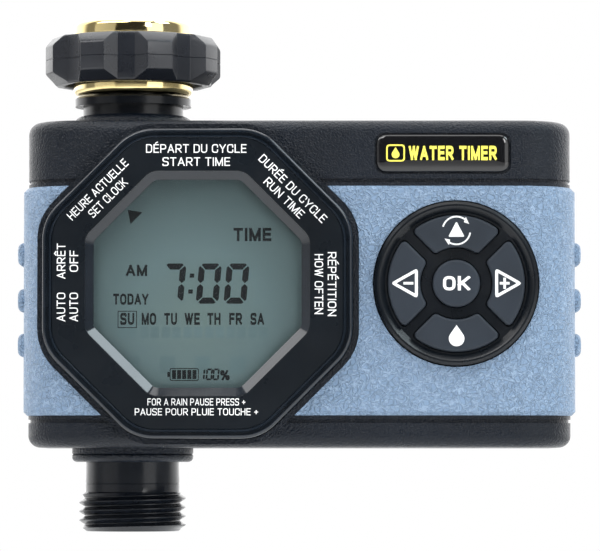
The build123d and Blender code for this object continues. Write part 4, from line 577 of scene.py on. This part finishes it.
# A plain condensed alphabet of even strokes. Each letter has its width and its strokes, drawn in a
# square from 0 to 1; a stroke is (corner radius, points), and a closed one ends where it starts.
BOWL = 0.3
ARM_E, ARM_H = (0, [(0, 0.52), (0.9, 0.52)]), (0, [(0, 0.52), (1, 0.52)])
LEFT, RIGHT = (0, [(0, 0), (0, 1)]), (0, [(1, 0), (1, 1)])
ALPHABET = {
    "A": (0.64, [(0, [(0, 0), (0.5, 1)]), (0, [(1, 0), (0.5, 1)]), (0, [(0.2, 0.3), (0.8, 0.3)])]),
    "C": (0.58, [(BOWL, [(1, 0.7), (1, 1), (0, 1), (0, 0), (1, 0), (1, 0.3)])]),
    "D": (0.58, [LEFT, (BOWL, [(0, 1), (1, 1), (1, 0), (0, 0)])]),
    "E": (0.50, [(0, [(1, 1), (0, 1), (0, 0), (1, 0)]), ARM_E]),
    "F": (0.48, [(0, [(1, 1), (0, 1), (0, 0)]), ARM_E]),
    "H": (0.58, [LEFT, RIGHT, ARM_H]),
    "I": (0.0, [LEFT]),
    "K": (0.60, [LEFT, (0, [(1, 1), (0.0, 0.36)]), (0, [(0.28, 0.56), (1, 0)])]),
    "L": (0.47, [(0, [(0, 1), (0, 0), (1, 0)])]),
    "M": (0.72, [LEFT, RIGHT, (0, [(0, 1), (0.5, 0.0)]), (0, [(1, 1), (0.5, 0.0)])]),
    "N": (0.60, [LEFT, RIGHT, (0, [(0, 1), (1, 0)])]),
    "O": (0.62, [(BOWL + 0.04, [(0, 1), (1, 1), (1, 0), (0, 0), (0, 1)])]),
    "P": (0.56, [LEFT, (BOWL, [(0, 1), (1, 1), (1, 0.44), (0, 0.44)])]),
    "R": (0.58, [LEFT, (BOWL, [(0, 1), (1, 1), (1, 0.46), (0, 0.46)]), (0, [(0.45, 0.46), (1, 0)])]),
    "S": (0.56, [(0.25, [(1, 0.86), (1, 1), (0, 1), (0, 0.54), (1, 0.46), (1, 0), (0, 0), (0, 0.14)])]),
    "T": (0.56, [(0, [(0, 1), (1, 1)]), (0, [(0.5, 0), (0.5, 1)])]),
    "U": (0.58, [(BOWL + 0.04, [(0, 1), (0, 0), (1, 0), (1, 1)])]),
    "W": (0.86, [(0, [(0, 1), (0.27, 0)]), (0, [(0.5, 1), (0.27, 0)]), (0, [(0.5, 1), (0.73, 0)]),
                 (0, [(1, 1), (0.73, 0)])]),
    "Y": (0.62, [(0, [(0, 1), (0.5, 0.42)]), (0, [(1, 1), (0.5, 0.42)]), (0, [(0.5, 0), (0.5, 0.42)])]),
    "+": (0.44, [(0, [(0, 0.46), (1, 0.46)]), (0, [(0.5, 0.2), (0.5, 0.72)])]),
    "%": (0.74, [(0, [(0.2, 0), (0.8, 1)]), (0.16, [(0, 1), (0.3, 1), (0.3, 0.6), (0, 0.6), (0, 1)]),
                 (0.16, [(0.7, 0.4), (1, 0.4), (1, 0), (0.7, 0), (0.7, 0.4)])]),
    " ": (0.12, []),
}
ACUTE, CIRCUMFLEX = [[(0.35, 1.2), (0.75, 1.34)]], [[(0.1, 1.2), (0.5, 1.36)], [(0.9, 1.2), (0.5, 1.36)]]
ACCENTS = {"É": ("E", ACUTE), "Ê": ("E", CIRCUMFLEX)}
LETTER_GAP = 0.15


def bent(points, radius):
    """A stroke's centre line with its corners rounded; a closed stroke gives a closed line."""
    if radius == 0:
        return [Vector(p) for p in points]
    closed = points[0] == points[-1]
    ring = points[:-1] if closed else points
    corner = [radius] * len(ring)
    if not closed:
        corner[0] = corner[-1] = 0
    line = [Vector(p) for p in round_profile(ring, corner, 6)]
    return line + line[:1] if closed else line


def stroke_edges(line, half, closed):
    """The two edges of a stroke of even width, mitred at its corners."""
    left, right = [], []
    count = len(line)
    for i, here in enumerate(line):
        before = line[i - 1] if i > 0 else (line[-2] if closed else None)
        after = line[i + 1] if i < count - 1 else (line[1] if closed else None)
        into = (here - before).normalized() if before is not None else (after - here).normalized()
        out = (after - here).normalized() if after is not None else into
        across = Vector((-(into + out).y, (into + out).x)).normalized()
        reach = half / max(0.35, across.dot(Vector((-into.y, into.x))))
        left.append(here + across * reach)
        right.append(here - across * reach)
    return left, right


def clip_to_line(outline, level, keep_below):
    """The part of a convex outline that lies below, or above, a level line."""
    kept = []
    for a, b in zip(outline, outline[1:] + outline[:1]):
        a_in, b_in = ((p[1] <= level) == keep_below for p in (a, b))
        if a_in:
            kept.append(a)
        if a_in != b_in:
            t = (level - a[1]) / (b[1] - a[1])
            kept.append((a[0] + t * (b[0] - a[0]), level))
    return kept


def lettering(name, rows, y, look, body, bold, thick=0.03):
    """Rows of (text, x, z, cap height, width, angle) that face the user; bold is a share of the height."""
    art = Graphics(name, 0.0, 0.0, y, thick)
    for text, x, z, cap, width, angle in rows:
        letters = []
        pen = 0.0
        for letter in text:
            plain, marks = ACCENTS.get(letter, (letter, []))
            wide, strokes = ALPHABET[plain]
            letters.append((pen, wide, strokes, marks))
            pen += wide + bold + LETTER_GAP
        length = pen - LETTER_GAP
        squeeze = width / cap / length
        turn = Matrix.Rotation(math.radians(angle), 2)

        def settle(points):
            out = []
            for u, v in points:
                spot = turn @ Vector(((u - length / 2) * squeeze, v - 0.5))
                out.append((x + spot.x * cap, z + spot.y * cap))
            return out

        half = bold / 2
        for start, wide, strokes, marks in letters:
            for radius, points in strokes + [(0, mark) for mark in marks]:
                spots = [(start + half + u * wide, half + v * (1 - bold)) for u, v in points]
                line = bent(spots, radius)
                closed = radius > 0 and points[0] == points[-1]
                if not closed:
                    line[0] = line[0] + (line[0] - line[1]).normalized() * half
                    line[-1] = line[-1] + (line[-1] - line[-2]).normalized() * half
                across = half * (0.9 + 0.1 / squeeze)
                left, right = stroke_edges(line, across, closed)
                if len(line) == 2 and max(v for _, v in spots) <= 1:
                    outline = [tuple(p) for p in left + right[::-1]]
                    art.fill(settle(clip_to_line(clip_to_line(outline, 1.0, True), 0.0, False)))
                elif closed:
                    art.band(settle(left[:-1]), settle(right[:-1]))
                else:
                    art.strip(settle(left), settle(right))
    return art.done(look, body)


def middle_of(node):
    """The centre of a CAD node's box, in millimetres."""
    low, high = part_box(node)
    return (low + high) / 2 / MM


def front_of(node):
    """The depth of a CAD node's front, in millimetres."""
    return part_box(node)[0].y / MM


# ------------------------------------------------------------------ display contents
DISPLAY = middle_of("lcd_panel")
DISPLAY_Y = front_of("lcd_panel")
DIGIT_W, DIGIT_H, STROKE, SLANT, SEGMENT_GAP = 5.55, 9.85, 1.5, 0.09, 0.11
SEGMENTS = {
    "a": ((0, 1), (1, 1)), "b": ((1, 1), (1, 0.5)), "c": ((1, 0.5), (1, 0)), "d": ((1, 0), (0, 0)),
    "e": ((0, 0), (0, 0.5)), "f": ((0, 0.5), (0, 1)), "g": ((0, 0.5), (1, 0.5)),
}
OUTWARD = {"a": (0, 1), "b": (1, 0), "c": (1, 0), "d": (0, -1), "e": (-1, 0), "f": (-1, 0), "g": (0, 0)}


def digit(art, u, v, segments, scale=1.0):
    """Seven-segment strokes, slanted; u, v is the digit's lower left corner.

    A stroke's end comes to a point at the middle bar, and is mitred where two strokes meet at a corner.
    """
    half = STROKE / 2 * scale
    wide, high = DIGIT_W * scale - 2 * half, DIGIT_H * scale - 2 * half
    for segment in segments:
        ends = [Vector((half + ax * wide, half + ay * high)) for ax, ay in SEGMENTS[segment]]
        along = (ends[1] - ends[0]).normalized()
        out = Vector(OUTWARD[segment])
        side = out if out.length else Vector((0, 1))
        outline = []
        for end, inwards in ((ends[0], along), (ends[1], -along)):
            end = end + inwards * SEGMENT_GAP * scale
            middle = segment == "g" or abs(end.y - half - high / 2) < high / 4
            cuts = ((1, 0.95), (0, 0.0), (-1, 0.95)) if middle else ((1, 0.3), (0.55, -0.3), (-1, 1.05))
            outline.append([end + side * half * place + inwards * half * back for place, back in cuts])
        ring = outline[0] + outline[1][::-1]
        art.fill([(u + p.x + SLANT * (p.y + v), v + p.y) for p in ring])


def make_display_marks():
    """What the display shows: the time, the day and the battery's charge."""
    art = Graphics("display_figures", 9.0, -61.1, DISPLAY_Y)
    digit(art, -1.2, 0.0, "abc")
    digit(art, 7.45, 0.0, "abcdef")
    digit(art, 14.25, 0.0, "abcdef")
    for v in (2.97, 6.88):
        art.bar(5.95, v, 1.1, 1.0, SLANT)
    art.done(INK, BODY)

    pointer = Graphics("display_pointer", 0.0, -40.0, DISPLAY_Y)
    pointer.fill([(-0.2, 1.9), (0.5, -1.6), (3.4, 1.3)])
    box = [(-2.35, -2.1), (2.35, -2.1), (2.35, 2.1), (-2.35, 2.1)]
    frame_outer = [(u - 0.25, v - 24.95) for u, v in box]
    frame_inner = [(0.92 * u - 0.25, 0.91 * v - 24.95) for u, v in box]
    pointer.band(frame_outer, frame_inner)
    pointer.done(INK, BODY)

    battery = Graphics("display_battery", 13.7, -78.42, DISPLAY_Y)
    case = [(-3.55, -1.55), (3.55, -1.55), (3.55, 1.55), (-3.55, 1.55)]
    outer = round_profile(case, [0.5] * 4)
    inner = round_profile([(0.945 * u, 0.87 * v) for u, v in case], [0.4] * 4)
    battery.band(outer, inner)
    for cell in range(5):
        battery.bar(-2.5 + 1.25 * cell, 0.0, 1.0, 2.2)
    battery.bar(-3.85, 0.0, 0.55, 1.2)
    for place, kind in ((3.45, "bc"), (5.3, "abcdef"), (6.95, "abcdef")):
        digit(battery, place, -1.4, kind, 0.29)
    battery.done(INK, BODY)

    words = [("TIME", 30.35, -44.15, 3.25, 9.3, 0), ("AM", 2.0, -52.95, 2.75, 5.2, 0)]
    words += [("TODAY", 0.6, -60.0, 2.7, 8.6, 0), ("%", 23.65, -78.6, 2.5, 2.3, 0)]
    widths = (3.4, 3.5, 3.1, 3.7, 3.2, 3.1, 3.3)
    for k, (day, width) in enumerate(zip(("SU", "MO", "TU", "WE", "TH", "FR", "SA"), widths)):
        words.append((day, -0.25 + 5.3 * k, -64.82, 2.9, width, 0))
    lettering("display_words", words, DISPLAY_Y, INK, BODY, 0.215)


def make_display_ghosts():
    """The display's unlit segments, just visible against the film."""
    art = Graphics("display_ghosts", 9.0, -61.1, DISPLAY_Y, 0.004)
    for column in range(7):
        for half in (-1.25, 1.25):
            art.bar(-9.1 + 5.3 * column + half, -7.0, 2.1, 2.7)
    for column in range(4):
        art.bar(-8.0 + 8.6 * column, -15.0, 3.6, 4.2)
    art.done(GHOST, BODY)


make_display_marks()
make_display_ghosts()


# ------------------------------------------------------------------ label ring lettering
LABEL_CAP, HINT_CAP = 2.1, 1.7


def make_label_words():
    """Generic function names round the ring, two lines to a side."""
    cx, cz = DISPLAY.x, DISPLAY.z
    rows = [("DÉPART DU CYCLE", cx - 0.3, cz + 32.9, LABEL_CAP, 24.5, 0)]
    rows += [("START TIME", cx - 0.3, cz + 29.7, LABEL_CAP, 16.5, 0)]
    slanted = [("HEURE ACTUELLE", 19.5, 33.4, -1, 1.0), ("SET CLOCK", 12.0, 30.2, -1, 0.7)]
    slanted += [("DURÉE DU CYCLE", 22.0, 32.8, 1, 0.1), ("RUN TIME", 12.5, 29.7, 1, 0.2)]
    for text, width, reach, side, down in slanted:
        across, up = (reach + down) / math.sqrt(2), (reach - down) / math.sqrt(2)
        rows.append((text, cx + side * across, cz + up, LABEL_CAP, width, -45.0 * side))
    rows += [("RÉPÉTITION", cx + 32.8, cz - 0.2, LABEL_CAP, 15.6, -90)]
    rows += [("HOW OFTEN", cx + 29.6, cz - 0.2, LABEL_CAP, 14.6, -90)]
    upright = (("ARRÊT", -33.2, 5.4, 8.6), ("OFF", -30.1, 5.4, 5.2), ("AUTO", -33.2, -5.8, 7.0))
    upright += (("AUTO", -30.1, -5.8, 7.0),)
    rows += [(text, cx + x, cz + z, LABEL_CAP, width, 90) for text, x, z, width in upright]
    rows += [("FOR A RAIN PAUSE PRESS +", cx - 0.2, cz - 28.9, HINT_CAP, 23.8, 0)]
    rows += [("PAUSE POUR PLUIE TOUCHE +", cx - 0.2, cz - 31.3, HINT_CAP, 30.0, 0)]
    lettering("label_words", rows, front_of("label_ring"), WHITE, BODY, 0.12)


make_label_words()


# ------------------------------------------------------------------ key symbols
PAD = middle_of("key_ok")
KEY_Y = front_of("key_ok")
KEY_REACH = 12.9


def drop_outline(tip, radius, centre):
    """A water drop: a point at the top and most of a circle below it."""
    outline = [(0.0, tip)]
    for step in range(25):
        angle = math.radians(30 - step * 10)
        outline.append((radius * math.cos(angle), centre + radius * math.sin(angle)))
    return outline


def make_cycle_symbol():
    """Next setting: two arrows chasing clockwise round a solid triangle."""
    art = Graphics("symbol_cycle", PAD.x, PAD.z + KEY_REACH, KEY_Y)
    art.fill(round_profile([(-2.0, -1.55), (2.0, -1.55), (0.0, 2.25)], [0.25] * 3))
    for start in (164.0, -9.0):
        art.arc(3.4, 0.4, start, start - 114.0)
        head = []
        for r, angle in ((3.5, start - 137.0), (2.72, start - 116.0), (4.05, start - 108.0)):
            head.append(tuple(polar(r, angle)))
        art.fill(head)
    art.done(WHITE, "key_next")


def make_step_symbol(name, side, body):
    """An outlined triangle that points outwards, with a minus or a plus in it."""
    art = Graphics(name, PAD.x, PAD.z, KEY_Y)
    outer = [(side * 9.45, -3.75), (side * 16.15, 0.0), (side * 9.45, 3.75)]
    inner = [(side * 10.15, -2.55), (side * 14.7, 0.0), (side * 10.15, 2.55)]
    art.band(round_profile(outer, [0.6] * 3), round_profile(inner, [0.15] * 3))
    middle = side * 11.75
    art.bar(middle, 0.0, 2.4, 0.62)
    if side > 0:
        for v in (0.86, -0.86):
            art.bar(middle, v, 0.62, 1.0)
    art.done(WHITE, body)


def make_drop_symbol():
    art = Graphics("symbol_drop", PAD.x, PAD.z - KEY_REACH, KEY_Y)
    art.fill(drop_outline(2.7, 1.9, -0.6))
    art.done(WHITE, "key_manual")


make_cycle_symbol()
make_step_symbol("symbol_minus", -1, "key_minus")
make_step_symbol("symbol_plus", 1, "key_plus")
make_drop_symbol()
lettering("symbol_ok", [("OK", PAD.x, PAD.z, 3.5, 6.6, 0)], KEY_Y, WHITE, "key_ok", 0.2)


# ------------------------------------------------------------------ badge
def make_badge():
    """A domed epoxy badge with a generic drop mark and the words WATER TIMER beside it."""
    centre = middle_of("badge")
    low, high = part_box("badge")
    size = (high - low) / MM
    back, front = high.y / MM, low.y / MM
    loops = []
    dome = ((0.0, back), (0.0, front + 0.95), (0.15, front + 0.66), (0.45, front + 0.46), (0.9, front + 0.31))
    dome += ((1.5, front + 0.2), (2.2, front + 0.12), (3.0, front + 0.05), (4.2, front))
    for inset, y in dome:
        half_x, half_z = size.x / 2 - inset, size.z / 2 - inset
        outline = [(-half_x, -half_z), (half_x, -half_z), (half_x, half_z), (-half_x, half_z)]
        corner = max(0.25, 2.8 - inset * 0.6)
        loops.append([(centre.x + u, y, centre.z + v) for u, v in round_profile(outline, [corner] * 4, 8)])
    for place, y in ((0, back), (len(loops), front)):
        edge = loops[min(place, len(loops) - 1)]
        spots = [(centre.x + 0.01 * (x - centre.x), centre.z + 0.01 * (z - centre.z)) for x, _, z in edge]
        loops.insert(place, [(x, y, z) for x, z in spots])
    piece = ring_stack("badge_dome", loops, BADGE, BODY)
    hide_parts("badge")

    mark = Graphics("badge_mark", centre.x - 11.6, centre.z, front)
    square = [(-2.3, -2.1), (2.3, -2.1), (2.3, 2.1), (-2.3, 2.1)]
    inside = [(0.84 * u, 0.82 * v) for u, v in square]
    mark.band(round_profile(square, [0.9] * 4), round_profile(inside, [0.6] * 4))
    mark.fill(drop_outline(1.45, 0.95, -0.35))
    mark.done(YELLOW, BODY)
    words = [("WATER TIMER", centre.x + 2.4, centre.z, 3.5, 21.5, 0)]
    lettering("badge_words", words, front, YELLOW, BODY, 0.21)


make_badge()


# ------------------------------------------------------------------ battery springs
def make_battery_springs():
    """Tapered coils on the two spring contacts of the battery bay."""
    low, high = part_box("battery_springs")
    low, high = low / MM, high / MM
    cell_high, cell_low = middle_of("cell_upper"), middle_of("cell_lower")
    wire, turns, steps, length = 0.32, 4, 24, 3.1
    base_r, taper = 4.2, 1.4
    places = (("spring_left", low.x, 1, cell_high), ("spring_right", high.x, -1, cell_low))
    for name, x, side, cell in places:
        points = []
        for step in range(turns * steps + 1):
            t = step / (turns * steps)
            a = 2 * math.pi * turns * t
            r = base_r - taper * t
            along = x + side * (wire + t * (length - 2 * wire))
            points.append((along, cell.y + r * math.cos(a), cell.z + r * math.sin(a)))
        curve = bpy.data.curves.new(name, "CURVE")
        curve.dimensions = "3D"
        curve.bevel_depth = wire * MM
        curve.bevel_resolution = 3
        curve.use_fill_caps = True
        spline = curve.splines.new("POLY")
        spline.points.add(len(points) - 1)
        for point, place in zip(spline.points, points):
            point.co = (*(Vector(place) * MM), 1.0)
        maker = bpy.data.objects.new(name, curve)
        mesh = bpy.data.meshes.new_from_object(maker)
        bpy.data.objects.remove(maker)
        piece = finish_mesh(name, mesh, STEEL, BODY)
        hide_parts("battery_springs")


make_battery_springs()


# ------------------------------------------------------------------ studio
def area_light(name, place, aim, size, power, color):
    data = bpy.data.lights.new(name, "AREA")
    data.shape = "RECTANGLE"
    data.size, data.size_y = size
    data.energy = power
    data.color = color
    lamp = bpy.data.objects.new(name, data)
    lamp.location = place
    lamp.rotation_euler = (Vector(aim) - Vector(place)).to_track_quat("-Z", "Y").to_euler()
    bpy.context.scene.collection.objects.link(lamp)


ROOM_FRONT, ROOM_SIDES, ROOM_BACK = 0.03, 0.25, 2.2
FLOOR_R, FLOOR_DROP = 6.0, 0.18
LIGHT_AIM = (0.042, 0.0, -0.055)
PURE, COOL = (1.0, 1.0, 1.0), (0.82, 0.95, 1.0)
# name, place, size and power of each panel, and its colour
LIGHTS = (
    ("key", (-0.45, -0.75, 0.95), (0.7, 0.5), 8.0, PURE),
    ("top", (0.15, -0.5, 1.1), (0.9, 0.4), 4.0, PURE),
    ("left_panel", (-1.0, -0.7, 0.1), (1.0, 1.0), 1.5, PURE),
    ("right_panel", (0.85, -0.85, 0.1), (0.7, 0.9), 3.2, PURE),
    ("upper_right", (0.72, -0.27, 0.64), (0.4, 0.4), 4.5, COOL),
    ("window", (0.5, -0.82, 0.36), (0.16, 0.3), 1.6, PURE),
    ("overhead", (0.04, 0.2, 1.15), (1.2, 0.8), 7.0, PURE),
    ("front_low", (0.04, -0.9, -0.42), (0.9, 0.08), 0.35, PURE),
    ("upper_left", (-0.66, -0.27, 0.64), (0.4, 0.4), 2.2, PURE),
)


def make_studio():
    """A pale floor in a white surround, lit by soft panels with the strongest at the upper left."""
    scene = bpy.context.scene
    scene.view_settings.view_transform = "Standard"
    world = bpy.data.worlds.new("studio")
    world.use_nodes = True
    scene.world = world
    nodes, links = world.node_tree.nodes, world.node_tree.links
    background = nodes["Background"]
    background.inputs["Color"].default_value = (1.0, 1.0, 1.0, 1.0)
    seen = nodes.new("ShaderNodeLightPath").outputs["Is Camera Ray"]
    # the room is dark behind the camera, dim at the sides and bright at the back
    direction = nodes.new("ShaderNodeSeparateXYZ")
    links.new(nodes.new("ShaderNodeTexCoord").outputs["Generated"], direction.inputs["Vector"])
    parts = []
    for low, high, bright in ((-0.9, -0.2, ROOM_SIDES - ROOM_FRONT), (0.12, 0.5, ROOM_BACK - ROOM_SIDES)):
        ramp = nodes.new("ShaderNodeMapRange")
        ramp.interpolation_type = "SMOOTHSTEP"
        for key, value in zip(("From Min", "From Max", "To Min", "To Max"), (low, high, 0.0, bright)):
            ramp.inputs[key].default_value = value
        links.new(direction.outputs["Y"], ramp.inputs["Value"])
        parts.append(ramp.outputs["Result"])
    room = nodes.new("ShaderNodeMath")
    room.operation = "ADD"
    for part, into in zip(parts, room.inputs):
        links.new(part, into)
    lifted = nodes.new("ShaderNodeMath")
    lifted.operation = "ADD"
    lifted.inputs[1].default_value = ROOM_FRONT
    links.new(room.outputs[0], lifted.inputs[0])
    strength = nodes.new("ShaderNodeMix")
    links.new(seen, strength.inputs["Factor"])
    links.new(lifted.outputs[0], strength.inputs["A"])
    strength.inputs["B"].default_value = 1.0
    links.new(strength.outputs["Result"], background.inputs["Strength"])
    for name, place, size, power, color in LIGHTS:
        area_light(name, place, LIGHT_AIM, size, power, color)

    floor_z = CAD_BOUNDS[0][2] - FLOOR_DROP
    mesh = bpy.data.meshes.new("floor")
    rim = [(*polar(FLOOR_R, a), floor_z) for a in range(0, 360, 6)]
    mesh.from_pydata(rim, [], [tuple(range(len(rim)))])
    floor = bpy.data.objects.new("floor", mesh)
    scene.collection.objects.link(floor)
    pale = Material("floor_paper", (0.9, 0.9, 0.9), 0.8)
    pale.bump(pale.noise(300), 0.05, 0.1)
    mesh.materials.append(pale.material)


CAMERA_SPOT, CAMERA_AIM, CAMERA_LENS = (0.042, -1.050, -0.1006), (0.042, 0.0, -0.0529), 250.7


def make_camera():
    """Square on to the display from about a metre away, a little below its middle and looking up."""
    data = bpy.data.cameras.new("camera")
    data.lens = CAMERA_LENS
    data.sensor_width = 36.0
    data.clip_end = 50.0
    camera = bpy.data.objects.new("camera", data)
    camera.location = CAMERA_SPOT
    toward = Vector(CAMERA_AIM) - Vector(CAMERA_SPOT)
    camera.rotation_euler = toward.to_track_quat("-Z", "Y").to_euler()
    bpy.context.scene.collection.objects.link(camera)
    bpy.context.scene.camera = camera


make_studio()
make_camera()
